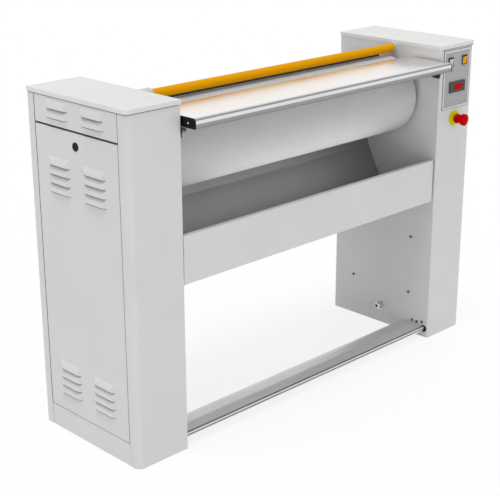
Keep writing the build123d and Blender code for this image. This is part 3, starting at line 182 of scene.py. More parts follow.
brushLook = {
    "lines": (3.0, 0.55),
    "cloud": (6.0, 3.0),
    "tint": (0.9, 1.05),
    "rough": (-0.04, 0.05),
    "patches": (-0.02, 0.04),
    "bump": 0.00004,
}


def brushedMetal(name, colour, roughness, stretch, scale=1.0, metallic=1.0, wear=0.35):
    material, tree, shader = startMaterial(name, colour, roughness, metallic)
    lines = noiseField(tree, objectPlace(tree, stretch), scale, *brushLook["lines"])
    cloud = noiseField(tree, objectPlace(tree), *brushLook["cloud"])
    tintOver(tree, shader, lines, colour, brushLook["tint"])
    low, high = brushLook["rough"]
    along = valueBand(tree, lines, roughness + low, roughness + high)
    patches = valueBand(tree, cloud, *brushLook["patches"])
    rough = joinFields(tree, "ADD", along, patches)
    tree.links.new(rough, shader.inputs["Roughness"])
    addBump(tree, shader, lines, brushLook["bump"], wear)
    return material


castLook = {
    "grains": (4.0, 0.65),
    "cloud": (12.0, 4.0),
    "tint": (0.86, 1.1),
    "rough": (-0.06, 0.1),
    "bump": 0.0003,
}


def castSkin(name, colour, roughness=0.6, metallic=0.0, grain=260):
    material, tree, shader = startMaterial(name, colour, roughness, metallic)
    vector = objectPlace(tree)
    grains = noiseField(tree, vector, grain, *castLook["grains"])
    tintOver(tree, shader, noiseField(tree, vector, *castLook["cloud"]), colour, castLook["tint"])
    roughenOver(tree, shader, grains, roughness, castLook["rough"])
    addBump(tree, shader, grains, castLook["bump"])
    return material


plasticLook = {
    "grain": (900, 3.0),
    "cloud": (30.0, 3.0),
    "tint": (0.93, 1.06),
    "rough": (-0.05, 0.07),
    "bump": 0.00005,
}


def mouldedPlastic(name, colour, roughness=0.35, coat=0.0, gloss=0.5):
    material, tree, shader = startMaterial(name, colour, roughness)
    shader.inputs["Specular IOR Level"].default_value = gloss
    shader.inputs["Coat Weight"].default_value = coat
    vector = objectPlace(tree)
    grains = noiseField(tree, vector, *plasticLook["grain"])
    cloud = noiseField(tree, vector, *plasticLook["cloud"])
    tintOver(tree, shader, cloud, colour, plasticLook["tint"])
    roughenOver(tree, shader, grains, roughness, plasticLook["rough"])
    addBump(tree, shader, grains, plasticLook["bump"])
    return material


# The threads follow the cover's own UV map, which is in metres
clothLook = {
    "roughness": 0.9,
    "gloss": 0.08,
    "sheen": 0.03,
    "sheenRoughness": 0.5,
    "threads": 260.0,
    "uneven": 1.2,
    "threadDetail": 1.0,
    "between": 0.9,
    "edges": (0.1, 0.9),
    "stretch": (0.6, 1, 1),
    "cloud": (9.0, 5.0, 0.6),
    "tint": (0.95, 1.02),
    "bump": (0.0003, 0.4),
}


def wovenCloth(name, colour, look):
    material, tree, shader = startMaterial(name, colour, look["roughness"])
    shader.inputs["Specular IOR Level"].default_value = look["gloss"]
    shader.inputs["Sheen Weight"].default_value = look["sheen"]
    shader.inputs["Sheen Roughness"].default_value = look["sheenRoughness"]
    across = addNode(tree, "UVMap")
    threads = []
    for direction in ("X", "Y"):
        wave = addNode(tree, "TexWave", Scale=look["threads"], Distortion=look["uneven"],
                       Detail=look["threadDetail"])
        wave.bands_direction = direction
        tree.links.new(across.outputs["UV"], wave.inputs["Vector"])
        threads.append(wave.outputs["Fac"])
    weave = joinFields(tree, "MAXIMUM", *threads)
    cloud = noiseField(tree, objectPlace(tree, look["stretch"]), *look["cloud"])
    worn = colourBand(tree, cloud, *(tinted(colour, share) for share in look["tint"]))
    shaded = colourBand(tree, weave, (look["between"],) * 3, (1, 1, 1), *look["edges"])
    tree.links.new(multiplyColours(tree, worn, shaded), shader.inputs["Base Color"])
    addBump(tree, shader, weave, *look["bump"])
    return material


feltLook = {
    "roughness": 0.95,
    "fibres": (420.0, 6.0, 0.7),
    "tint": (0.7, 1.1),
    "bump": (0.001, 0.8),
}


def woolFelt(name, colour, look):
    material, tree, shader = startMaterial(name, colour, look["roughness"])
    fibres = noiseField(tree, objectPlace(tree), *look["fibres"])
    tintOver(tree, shader, fibres, colour, look["tint"])
    addBump(tree, shader, fibres, *look["bump"])
    return material


windowLook = {"roughness": 0.12, "gloss": 0.02, "cells": (260.0, 2.0), "tint": (0.85, 1.05)}


def litWindow(name, colour, glow):
    material, tree, shader = startMaterial(name, colour, windowLook["roughness"])
    shader.inputs["Emission Strength"].default_value = glow
    shader.inputs["Specular IOR Level"].default_value = windowLook["gloss"]
    cells = noiseField(tree, objectPlace(tree), *windowLook["cells"])
    lit = colourBand(tree, cells, *(tinted(colour, share) for share in windowLook["tint"]))
    tree.links.new(lit, shader.inputs["Base Color"])
    tree.links.new(lit, shader.inputs["Emission Color"])
    return material


# Below its height a sheet is bare and dull, as under the feed table, and its dark grey there is
# painted shade under the table
def dullAndShadedBelow(material, under):
    tree = material.node_tree
    shader = tree.nodes["Principled BSDF"]
    place = addNode(tree, "SeparateXYZ")
    tree.links.new(objectPlace(tree), place.inputs["Vector"])
    above = joinFields(tree, "GREATER_THAN", place.outputs["Z"], under["height"])
    dull = {"Base Color": (*under["colour"], 1), "Roughness": under["roughness"], "Metallic": 0.0}
    for name, low in dull.items():
        level = addNode(tree, "Mix")
        level.data_type = "RGBA" if name == "Base Color" else "FLOAT"
        level.inputs["A"].default_value = low
        if shader.inputs[name].links:
            bright = shader.inputs[name].links[0].from_socket
            tree.links.new(bright, level.inputs["B"])
        else:
            level.inputs["B"].default_value = shader.inputs[name].default_value
        tree.links.new(above, level.inputs["Factor"])
        tree.links.new(level.outputs["Result"], shader.inputs[name])


# Painted highlight and shade in bands along rolled and moulded edges; a stop is a place and a
# share
def paintLightBandsAlong(material, bands):
    tree = material.node_tree
    shader = tree.nodes["Principled BSDF"]
    place = addNode(tree, "SeparateXYZ")
    tree.links.new(objectPlace(tree), place.inputs["Vector"])
    along = place.outputs[bands["axis"]]
    ramp = addNode(tree, "ValToRGB")
    points = ramp.color_ramp.elements
    while len(points) < len(bands["stops"]):
        points.new(0.5)
    for point, (spot, grey) in zip(points, bands["stops"]):
        point.position = spot
        point.color = (grey, grey, grey, 1)
    spread = valueBand(tree, along, 0.0, 1.0, bands["from"], bands["to"])
    tree.links.new(spread, ramp.inputs["Fac"])
    plain = shader.inputs["Base Color"].links[0].from_socket
    banded = multiplyColours(tree, plain, ramp.outputs["Color"])
    tree.links.new(banded, shader.inputs["Base Color"])


# Painted sheet, and the paint of the guard bar
paint = powderCoat("cabinetPaint", (0.685, 0.685, 0.685))
# The lids take a lighter copy of the cabinet paint: painted light on the cabinets' tops
litLidPaint = powderCoat("litLidPaint", (0.74, 0.74, 0.735), 0.38)
framePrimer = powderCoat("framePrimer", (0.10, 0.105, 0.11), 0.55, grain=500)
barOrange = powderCoat("barOrange", (0.82, 0.37, 0.0), 0.5, grain=500, gloss=0.03)

# Table, tray and pedal, brushed along the machine
tableSteel = brushedMetal("tableSteel", (0.92, 0.91, 0.89), 0.2, (5, 700, 700), wear=0.12)
# The table's underside is dull bare sheet, and its dark grey is painted shade under the table
tableUndersideShade = {"height": 1.0008, "colour": (0.16, 0.16, 0.165), "roughness": 0.7}
dullAndShadedBelow(tableSteel, tableUndersideShade)
traySteel = brushedMetal("traySteel", (0.31, 0.31, 0.31), 0.45, (6, 600, 600),
                         metallic=0.5, wear=0.12)
pedalSteel = brushedMetal("pedalSteel", (0.68, 0.68, 0.68), 0.4, (6, 500, 500),
                          metallic=0.75, wear=0.12)
# Painted light on the pedal's rolled front edge: bright highlight lines and dark shade lines
# across its depth
pedalPaintedLightBands = {
    "axis": "Y",
    "from": -0.213,
    "to": -0.189,
    "stops": (
        (0.0, 0.06), (0.10, 0.06), (0.14, 1.3), (0.34, 1.3),
        (0.38, 0.15), (0.53, 0.15), (0.6, 1.0),
    ),
}
paintLightBandsAlong(pedalSteel, pedalPaintedLightBands)
edgeAluminium = brushedMetal("edgeAluminium", (0.80, 0.80, 0.80), 0.3, (3, 600, 600))
# Painted reflection on the table's front profile: dark and bright bands up its height
edgePaintedReflectionBands = {
    "axis": "Z",
    "from": 0.974,
    "to": 1.003,
    "stops": (
        (0.0, 0.12), (0.08, 0.36), (0.42, 0.42), (0.5, 0.95),
        (0.76, 0.95), (0.84, 0.42), (0.92, 0.45), (1.0, 0.95),
    ),
}
paintLightBandsAlong(edgeAluminium, edgePaintedReflectionBands)

# Other bare and plated metal
plateAluminium = brushedMetal("plateAluminium", (0.41, 0.41, 0.415), 0.5, (12, 12, 500),
                              metallic=0.3)
rimAluminium = brushedMetal("rimAluminium", (0.66, 0.66, 0.67), 0.4, (12, 12, 500), metallic=0.2)
screwSteel = brushedMetal("screwSteel", (0.09, 0.095, 0.12), 0.4, (60, 60, 60), metallic=0.5)
copperStud = brushedMetal("copperStud", (0.30, 0.13, 0.03), 0.45, (200, 200, 200), metallic=0.5)
nickelBrass = brushedMetal("nickelBrass", (0.66, 0.66, 0.64), 0.25, (200, 40, 40))
zincSteel = brushedMetal("zincSteel", (0.52, 0.53, 0.54), 0.4, (40, 40, 40), scale=1.4)
turnedSteel = brushedMetal("turnedSteel", (0.55, 0.55, 0.55), 0.28, (900, 30, 30))
polishedRod = brushedMetal("polishedRod", (0.80, 0.80, 0.80), 0.12, (4, 500, 500))
troughPolish = brushedMetal("troughPolish", (0.70, 0.70, 0.69), 0.22, (5, 400, 400))
bushBronze = brushedMetal("bushBronze", (0.52, 0.34, 0.14), 0.34, (900, 40, 40))

# Castings and rubber, and dark greys that are painted shade: the table brackets, the gaps, the
# louvre mouths and the strips under the lids
# The table brackets are near black: painted shade under the table's ends
bracketShadeBlack = castSkin("bracketShadeBlack", (0.045, 0.045, 0.05), 0.5, 0.3)
pulleyIron = castSkin("pulleyIron", (0.10, 0.10, 0.105), 0.5, 0.4)
gearCasting = castSkin("gearCasting", (0.36, 0.36, 0.37), 0.5, 0.8)
motorPaint = castSkin("motorPaint", (0.02, 0.05, 0.10), 0.45)
# Black rubber; on the rail seal and in the gland it is also painted shade in a gap and a bore
blackRubberAndShade = castSkin("blackRubberAndShade", (0.012, 0.012, 0.012), 0.75, grain=600)
# Dark grey in the seams and louvre mouths: painted shade
gapShadeGrey = mouldedPlastic("gapShadeGrey", (0.075, 0.077, 0.08), 0.7, gloss=0.1)
# Dark grey strips under the lids: painted shadow
lidShadowGrey = mouldedPlastic("lidShadowGrey", (0.24, 0.24, 0.24), 0.7, gloss=0.1)

# Plastics, windows and inks of the controls, and the dark grey of the painted shadow round the
# control plate
blackPlastic = mouldedPlastic("blackPlastic", (0.006, 0.006, 0.007), 0.4, gloss=0.12)
greyPlastic = mouldedPlastic("greyPlastic", (0.45, 0.46, 0.47), 0.4)
bossPlastic = mouldedPlastic("bossPlastic", (0.60, 0.60, 0.61), 0.4)
controllerGrey = mouldedPlastic("controllerGrey", (0.062, 0.068, 0.068), 0.5, gloss=0.2)
bezelGrey = mouldedPlastic("bezelGrey", (0.045, 0.048, 0.05), 0.45, gloss=0.25)
rockerGrey = mouldedPlastic("rockerGrey", (0.62, 0.62, 0.60), 0.28, coat=0.3)
rockerAmber = litWindow("rockerAmber", (0.80, 0.34, 0.001), 0.12)
stopYellow = mouldedPlastic("stopYellow", (0.66, 0.66, 0.0), 0.4, gloss=0.03)
stopRed = mouldedPlastic("stopRed", (0.52, 0.0, 0.001), 0.3, gloss=0.03)
windowRed = litWindow("windowRed", (0.46, 0.0, 0.0), 0.08)
digitRed = litWindow("digitRed", (0.75, 0.02, 0.015), 0.25)
plateShadowGrey = mouldedPlastic("plateShadowGrey", (0.15, 0.16, 0.19), 0.6, gloss=0.1)
markBlack = mouldedPlastic("markBlack", (0.02, 0.02, 0.02), 0.6)
markWhite = mouldedPlastic("markWhite", (0.8, 0.8, 0.8), 0.5)

# Cloth and wool
rollerCloth = wovenCloth("rollerCloth", (0.60, 0.60, 0.595), clothLook)
feltWool = woolFelt("feltWool", (0.55, 0.48, 0.33), feltLook)

finishes = {
    paint: """left_cabinet_shell right_cabinet_shell left_plinth right_side_cover
        vent_panel door_rail service_door tray_front_panel rear_cover""",
    litLidPaint: "left_lid right_lid",
    framePrimer: """left_frame_plate right_frame_plate base_pans rear_tie_beam
        motor_shelf trough_arms""",
    tableSteel: "feed_table",
    traySteel: "collecting_tray",
    pedalSteel: "pedal_plate",
    edgeAluminium: "table_edge_profile",
    plateAluminium: "control_plate",
    bracketShadeBlack: "table_brackets",
    zincSteel: "trough_casing electrical_plate",
    turnedSteel: "roller_drum roller_hubs trough_shaft estop_stem pull_rod heating_rods",
    polishedRod: "pedal_rod",
    troughPolish: "trough_casting",
    bushBronze: "trough_bushes",
    pulleyIron: "roller_pulley drive_pulley roller_bearings",
    gearCasting: "gearbox",
    motorPaint: "drive_motor",
    # rail_seal is a black seal on the rail whose black is painted shade in the gap between the
    # vent panel and the door
    blackRubberAndShade: "guard_lip drive_belt rail_seal",
    barOrange: "guard_bar",
    blackPlastic: "table_end_caps pedal_bushes door_lock lock_cam",
    bezelGrey: "switch_bezels",
    greyPlastic: "contactors",
    nickelBrass: "cable_gland",
    bossPlastic: "bar_bosses",
    controllerGrey: "temperature_controller",
    rockerGrey: "heat_rocker",
    rockerAmber: "power_rocker",
    stopYellow: "estop_collar",
    stopRed: "estop_head",
    windowRed: "controller_window",
}
for material, names in finishes.items():
    for name in names.split():
        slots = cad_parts[name].data.materials
        slots.clear()
        slots.append(material)
print("finishes given")


# Pieces are shaped in millimetres and brought to metres here
millimetre = 0.001


def addPiece(name, mesh, material, body, sharpAngle=40):
    bmesh.ops.scale(mesh, vec=(millimetre, millimetre, millimetre), verts=mesh.verts)
    bmesh.ops.recalc_face_normals(mesh, faces=mesh.faces)
    for face in mesh.faces:
        face.smooth = True
    data = bpy.data.meshes.new(name)
    mesh.to_mesh(data)
    mesh.free()
    data.materials.append(material)
    data.set_sharp_from_angle(angle=radians(sharpAngle))
    piece = bpy.data.objects.new(name, data)
    bpy.context.scene.collection.objects.link(piece)
    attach(piece, body)
    return piece


def liftFaces(mesh, faces, shift):
    lifted = bmesh.ops.extrude_face_region(mesh, geom=faces)["geom"]
    raised = [item for item in lifted if isinstance(item, bmesh.types.BMVert)]
    bmesh.ops.translate(mesh, vec=shift, verts=raised)
    return [item for item in lifted if isinstance(item, bmesh.types.BMFace)]


def keepBorder(mesh, face, width):
    bmesh.ops.inset_region(mesh, faces=[face], thickness=width,
                           use_boundary=True, use_even_offset=True)
    bmesh.ops.delete(mesh, geom=[face], context="FACES_ONLY")


def addBlock(mesh, low, high):
    low, high = Vector(low), Vector(high)
    made = bmesh.ops.create_cube(mesh, size=1.0)
    bmesh.ops.scale(mesh, vec=high - low, verts=made["verts"])
    bmesh.ops.translate(mesh, vec=(low + high) / 2, verts=made["verts"])


# Roller cover: padded cloth drawn over the drum and gathered at the ends
rollerPad = {
    "centre": (0, -10.0, 867.0),
    "halfLength": 560.0,
    "radius": 133.0,
    "thickness": 9.4,
    "rim": 14.0,
    "gatherRadius": 109.0,
    "turnSteps": 180,
    "rimSteps": 6,
    "endSteps": 3,
    "lengthSteps": 32,
    "gathers": 40,
    "gatherDepth": 0.9,
    "gatherZone": 2.0,
    "slack": 0.35,
    "waveLengths": (61.0, 97.0),
    "waveTurns": (3, 5),
    "waveBend": 2,
    "skin": 1.0,
}


def rollerProfile(pad):
    half, radius, rim, wall = pad["halfLength"], pad["radius"], pad["rim"], pad["thickness"]
    corner = []
    for step in range(pad["rimSteps"] + 1):
        turn = step * pi / (2 * pad["rimSteps"])
        corner.append((half - rim + rim * sin(turn), radius - rim + rim * cos(turn)))
    drop = radius - rim - pad["gatherRadius"]
    face = [
        (half, radius - rim - step * drop / pad["endSteps"])
        for step in range(1, pad["endSteps"] + 1)
    ]
    inner = [(half - wall, pad["gatherRadius"]), (half - wall, radius - wall)]
    right = corner + face + inner
    run = 2 * (half - rim)
    across = [
        (-half + rim + step * run / pad["lengthSteps"], radius)
        for step in range(1, pad["lengthSteps"])
    ]
    left = [(-x, reach) for x, reach in reversed(right)]
    return left + across + right


# The UV map is the cloth unrolled, in metres
def unrollCloth(mesh, radius):
    across = mesh.loops.layers.uv.new("cloth")
    for face in mesh.faces:
        turns = [atan2(loop.vert.co.z, loop.vert.co.y) for loop in face.loops]
        wraps = max(turns) - min(turns) > pi
        for loop, turn in zip(face.loops, turns):
            around = turn + 2 * pi if wraps and turn < 0 else turn
            loop[across].uv = (loop.vert.co.x * millimetre, around * radius * millimetre)


def slackenCloth(mesh, pad):
    longWave, wideWave = pad["waveLengths"]
    bendTurns, wideTurns = pad["waveTurns"]
    for vert in mesh.verts:
        turn = atan2(vert.co.z, vert.co.y)
        reach = (vert.co.y**2 + vert.co.z**2) ** 0.5
        if reach <= pad["radius"] - pad["thickness"] + pad["skin"]:
            continue
        if abs(vert.co.x) > pad["halfLength"] - pad["gatherZone"]:
            share = (pad["radius"] - reach) / (pad["radius"] - pad["gatherRadius"])
            pleat = pad["gatherDepth"] * share * (1 - cos(pad["gathers"] * turn)) / 2
            vert.co.x -= pleat if vert.co.x > 0 else -pleat
        else:
            bend = pad["waveBend"] * sin(bendTurns * turn)
            wave = sin(vert.co.x / longWave + bend) * sin(wideTurns * turn + vert.co.x / wideWave)
            sink = pad["slack"] * (1 + wave) / 2
            vert.co.y *= 1 - sink / reach
            vert.co.z *= 1 - sink / reach


def makeRollerPad(pad):
    mesh = bmesh.new()
    ring = [mesh.verts.new((x, 0, reach)) for x, reach in rollerProfile(pad)]
    edges = [mesh.edges.new(pair) for pair in zip(ring, ring[1:] + ring[:1])]
    bmesh.ops.spin(mesh, geom=ring + edges, angle=2 * pi, steps=pad["turnSteps"],
                   axis=(1, 0, 0), cent=(0, 0, 0), use_merge=True)
    unrollCloth(mesh, pad["radius"])
    slackenCloth(mesh, pad)
    bmesh.ops.translate(mesh, vec=pad["centre"], verts=mesh.verts)
    return addPiece("rollerPad", mesh, rollerCloth, "roller", 60)


rollerPiece = makeRollerPad(rollerPad)
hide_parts("roller_cover", "roller_padding")
print("roller dressed")

# Wool blanket between the trough and its casing, swept from low to high in degrees
woolBlanket = {
    "centre": (0, -10.0, 867.0),
    "halfLength": 561.0,
    "inner": 159.0,
    "outer": 170.4,
    "low": -43.5,
    "high": 50.5,
    "steps": 32,
}


def makeWool(wool):
    mesh = bmesh.new()
    half, inner, outer = wool["halfLength"], wool["inner"], wool["outer"]
    corners = ((-half, inner), (half, inner), (half, outer), (-half, outer))
    start = Matrix.Rotation(radians(wool["low"]), 3, "X")
    section = mesh.faces.new([mesh.verts.new(start @ Vector((x, y, 0))) for x, y in corners])
    bmesh.ops.spin(mesh, geom=[section], angle=radians(wool["high"] - wool["low"]),
                   steps=wool["steps"], axis=(1, 0, 0), cent=(0, 0, 0))
    bmesh.ops.translate(mesh, vec=wool["centre"], verts=mesh.verts)
    return addPiece("woolBlanket", mesh, feltWool, "trough")


woolPiece = makeWool(woolBlanket)
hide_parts("trough_insulation")
print("wool laid")

# Socket screws and bolts
buttonScrew = {"radius": 5.0, "height": 2.4, "round": 1.0, "socket": 2.3, "socketDepth": 1.4}
panelScrew = {"radius": 5.0, "height": 1.9, "round": 1.0, "socket": 2.2, "socketDepth": 1.4}
smallScrew = {"radius": 2.6, "height": 1.4, "round": 0.7, "socket": 1.2, "socketDepth": 0.8}
frameBolt = {"radius": 8.0, "height": 6.0, "round": 1.0, "socket": 3.4, "socketDepth": 3.0}
screwDetail = {"sides": 24, "roundSteps": 4}


def islandFrom(start):
    island, ahead = set(), [start]
    while ahead:
        vert = ahead.pop()
        if vert not in island:
            island.add(vert)
            ahead.extend(edge.other_vert(vert) for edge in vert.link_edges)
    return list(island)


def addScrew(mesh, spec, place, facing):
    disc = bmesh.ops.create_circle(mesh, cap_ends=True, cap_tris=False,
                                   segments=screwDetail["sides"], radius=spec["radius"])
    start = disc["verts"][0]
    raised = liftFaces(mesh, [start.link_faces[0]], (0, 0, spec["height"]))
    bmesh.ops.bevel(mesh, geom=list(raised[0].edges), offset=spec["round"],
                    segments=screwDetail["roundSteps"], profile=0.5, affect="EDGES", material=-1)
    faces = {face for vert in islandFrom(start) for face in vert.link_faces}
    top = max(faces, key=lambda face: (face.calc_center_median().z, face.calc_area()))
    land = spec["radius"] - spec["round"] - spec["socket"]
    bmesh.ops.inset_individual(mesh, faces=[top], thickness=land)
    for vert in top.verts:  # the round hole becomes a hexagon
        turn = atan2(vert.co.y, vert.co.x) % (pi / 3) - pi / 6
        reach = spec["socket"] * cos(pi / 6) / cos(turn)
        vert.co.xy = vert.co.xy.normalized() * reach
    liftFaces(mesh, [top], (0, 0, -spec["socketDepth"]))
    bmesh.ops.delete(mesh, geom=[top], context="FACES_ONLY")
    turned = Vector(facing).to_track_quat("Z", "Y").to_matrix().to_4x4()
    shift = Matrix.Translation(place) @ turned
    bmesh.ops.transform(mesh, matrix=shift, verts=islandFrom(start))


# Facing is where the heads point on the right side; on the left its x is turned round
def addScrews(name, spec, spots, facing, material):
    mesh = bmesh.new()
    for place in spots:
        side = 1 if place[0] > 0 else -1
        addScrew(mesh, spec, place, (facing[0] * side, *facing[1:]))
    addPiece(name, mesh, material, "frame", 50)


sides = (-1, 1)
innerWall = 574.5
screwRows = {
    "wall": ((-129, 363), (131, 363), (-129, 153), (131, 153), (-195, 55), (-172, 50)),
    "sideCover": [(762, y, z) for y in (-168, 174) for z in (40, 520, 1000)],
    "rearCover": [(x, 216, z) for x in (-560, -190, 190, 560) for z in (612, 953)],
    "back": [(side * x, 221, z) for side in sides for x in (600, 736) for z in (40, 1000)],
    "bearing": [(side * 591, y, z) for side in sides for y in (-44, 24) for z in (833, 901)],
    "caps": [(side * 569.5, -245.5, 988) for side in sides],
    "earth": [(innerWall, -151, 51)],
}
wallSpots = [(side * innerWall, y, z) for side in sides for y, z in screwRows["wall"]]
addScrews("wallScrews", buttonScrew, wallSpots, (-1, 0, 0), screwSteel)
addScrews("earthStud", buttonScrew, screwRows["earth"], (-1, 0, 0), copperStud)
addScrews("capScrews", smallScrew, screwRows["caps"], (1, 0, 0), markWhite)
addScrews("sideCoverScrews", panelScrew, screwRows["sideCover"], (1, 0, 0), zincSteel)
addScrews("rearCoverScrews", smallScrew, screwRows["rearCover"], (0, 1, 0), zincSteel)
addScrews("backScrews", panelScrew, screwRows["back"], (0, 1, 0), zincSteel)
addScrews("bearingBolts", frameBolt, screwRows["bearing"], (1, 0, 0), zincSteel)
print("screws set")

# Thin dark strips under the lids, painted shadow of the lids' overhang, open on the side of the
# bay
lidShadowStrip = {
    "middle": 668.25,
    "halfWidth": 95.4,
    "halfDepth": 222.65,
    "corner": 15.0,
    "cornerSteps": 6,
    "band": 3.0,
    "bottom": 1034.4,
    "height": 2.6,
    "trim": 6.0,
}


def makeLidShadowStrip(name, side, darkPiece):
    mesh = bmesh.new()
    middle, halfWidth = side * darkPiece["middle"], darkPiece["halfWidth"]
    made = bmesh.ops.create_grid(mesh, x_segments=1, y_segments=1, size=1.0)
    for vert in made["verts"]:
        x, y = middle + vert.co.x * halfWidth, vert.co.y * darkPiece["halfDepth"]
        vert.co = (x, y, darkPiece["bottom"])
    bmesh.ops.bevel(mesh, geom=list(mesh.verts), offset=darkPiece["corner"],
                    segments=darkPiece["cornerSteps"], profile=0.5, affect="VERTICES", material=-1)
    keepBorder(mesh, mesh.faces[:][0], darkPiece["band"])
    cut = middle - side * (halfWidth - darkPiece["trim"])
    bmesh.ops.bisect_plane(mesh, geom=mesh.verts[:] + mesh.edges[:] + mesh.faces[:],
                           clear_outer=True, plane_co=(cut, 0, 0), plane_no=(-side, 0, 0))
    liftFaces(mesh, list(mesh.faces), (0, 0, darkPiece["height"]))
    addPiece(name, mesh, lidShadowGrey, "frame")


makeLidShadowStrip("leftLidShadow", -1, lidShadowStrip)
makeLidShadowStrip("rightLidShadow", 1, lidShadowStrip)

# Painted shade in the seams beside the door and the vent panel: dark strips set in the gaps
seamShadeStrip = {
    "face": 762.0,
    "proud": 0.3,
    "depth": 1.2,
    "overlap": 0.35,
    "gap": 0.95,
    "front": -184.0,
    "back": 190.0,
    "bottom": 72.0,
    "top": 1036.0,
}


def makeSeamShadeStrips(name, strip):
    mesh = bmesh.new()
    outer, inner = -strip["face"] - strip["proud"], -strip["face"] + strip["depth"]
    for edge, way in ((strip["front"], 1), (strip["back"], -1)):
        ends = (edge - way * strip["overlap"], edge + way * strip["gap"])
        addBlock(mesh, (outer, min(ends), strip["bottom"]), (inner, max(ends), strip["top"]))
    addPiece(name, mesh, gapShadeGrey, "frame")


makeSeamShadeStrips("leftSeamShade", seamShadeStrip)

# Painted shade at the mouths of the pressed louvres: dark strips along each hood's lower lip
louvreMouthShade = {
    "face": -762.0,
    "length": 95.0,
    "reach": 8.0,
    "slope": 17.0,
    "slopeSteps": 6,
    "proud": 0.15,
    "thick": 1.0,
    "least": 0.02,
    "low": -1.2,
    "high": 0.4,
    "columns": (-76.5, 82.5),
    "pitch": 26.5,
}
louvreShadeGroups = {
    "ventMouthShade": {"lowest": (977.5,), "rows": 2, "body": "frame"},
    "doorMouthShade": {"lowest": (132.0, 763.0), "rows": 4, "body": "door"},
}


# The path goes out along the louvre's rounded shoulder and back in at its other end
def louvrePath(spec):
    half, path = spec["length"] / 2, []
    for step in range(spec["slopeSteps"] + 1):
        share = step / spec["slopeSteps"]
        path.append((spec["reach"] * (1 - (1 - share) ** 2), -half + spec["slope"] * share))
    return path + [(out, -along) for out, along in reversed(path)]


def addLouvreMouthShade(mesh, spec, y, z):
    outside, inside = spec["proud"], -spec["thick"]
    corners = (
        (outside, spec["low"]), (outside, spec["high"]),
        (inside, spec["high"]), (inside, spec["low"]),
    )
    rows = []
    for shift, height in corners:
        row = []
        for out, along in louvrePath(spec):
            depth = min(max(out + shift, spec["least"]), spec["reach"])
            row.append(mesh.verts.new((spec["face"] - depth, y + along, z + height)))
        rows.append(row)
    for row, follow in zip(rows, rows[1:] + rows[:1]):
        for spot in range(len(row) - 1):
            mesh.faces.new((row[spot], row[spot + 1], follow[spot + 1], follow[spot]))
    for end in (0, -1):
        mesh.faces.new([row[end] for row in rows])


def makeLouvreMouthShades(name, spec, group):
    mesh = bmesh.new()
    for bottom in group["lowest"]:
        for row in range(group["rows"]):
            for y in spec["columns"]:
                addLouvreMouthShade(mesh, spec, y, bottom + row * spec["pitch"])
    addPiece(name, mesh, gapShadeGrey, group["body"])


for groupName, group in louvreShadeGroups.items():
    makeLouvreMouthShades(groupName, louvreMouthShade, group)
print("gaps drawn")

# Borders of the control plate, each inset from the plate's edge and set behind its face
controlPlate = {"left": 592.0, "right": 740.0, "bottom": 830.5, "top": 1030.0, "face": -222.5}
plateBorders = {
    "plateRim": {
        "inset": 0.8, "behind": 0.0, "width": 7.5, "height": 0.3, "finish": rimAluminium,
    },
    "plateLine": {
        "inset": 8.3, "behind": 0.0, "width": 0.9, "height": 0.15, "finish": markBlack,
    },
    # A dark line round the plate: painted shadow of its edge
    "plateShadowLine": {
        "inset": -0.5, "behind": 1.5, "width": 1.5, "height": 1.6, "finish": plateShadowGrey,
    },
}


def makePlateBorder(name, plate, border):
    mesh = bmesh.new()
    inset = border["inset"]
    left, right = plate["left"] + inset, plate["right"] - inset
    bottom, top = plate["bottom"] + inset, plate["top"] - inset
    made = bmesh.ops.create_grid(mesh, x_segments=1, y_segments=1, size=0.5)
    for vert in made["verts"]:
        x, z = left if vert.co.x < 0 else right, bottom if vert.co.y < 0 else top
        vert.co = (x, plate["face"] + border["behind"], z)
    mesh.normal_update()
    keepBorder(mesh, mesh.faces[:][0], border["width"])
    liftFaces(mesh, list(mesh.faces), (0, -border["height"], 0))
    addPiece(name, mesh, border["finish"], "frame")


for borderName, border in plateBorders.items():
    makePlateBorder(borderName, controlPlate, border)

# Plain printed dashes: middle in x and z, width and height
plateMarks = {
    "proud": 0.12,
    "dashes": (
        (629, 1012, 9, 1.2), (705, 968.5, 10, 1.2),
        (726, 846, 4, 1.0), (726, 849.5, 2, 3.0),
    ),
}


def makePlateMarks(marks, face):
    mesh = bmesh.new()
    for x, z, wide, high in marks["dashes"]:
        addBlock(mesh, (x - wide / 2, face - marks["proud"], z - high / 2),
                 (x + wide / 2, face, z + high / 2))
    addPiece("plateMarks", mesh, markBlack, "frame")


makePlateMarks(plateMarks, controlPlate["face"])

# Rubber seal inside the cable gland; its black is also painted shade inside the bore
glandSealAndBoreShade = {"place": (555.5, -3, 69), "radius": 5.9, "length": 6.0, "sides": 32}


def makeGlandSealAndBoreShade(darkPiece):
    mesh = bmesh.new()
    bmesh.ops.create_cone(mesh, cap_ends=True, cap_tris=False, segments=darkPiece["sides"],
                          radius1=darkPiece["radius"], radius2=darkPiece["radius"], depth=darkPiece["length"])
    across = Matrix.Rotation(pi / 2, 3, "Y")
    bmesh.ops.rotate(mesh, cent=(0, 0, 0), matrix=across, verts=mesh.verts)
    bmesh.ops.translate(mesh, vec=darkPiece["place"], verts=mesh.verts)
    addPiece("glandSealAndBoreShade", mesh, blackRubberAndShade, "frame")


makeGlandSealAndBoreShade(glandSealAndBoreShade)
print("plate bordered")

# Figures in the controller's window, built from seven bars
readout = {
    "face": -226.5,
    "centre": (672.5, 903.0),
    "digits": "180",
    "height": 12.0,
    "width": 6.6,
    "bar": 1.3,
    "pitch": 10.5,
    "proud": 0.15,
}
litBars = {"0": "abcdef", "1": "bc", "8": "abcdefg"}
levelBars = "adg"


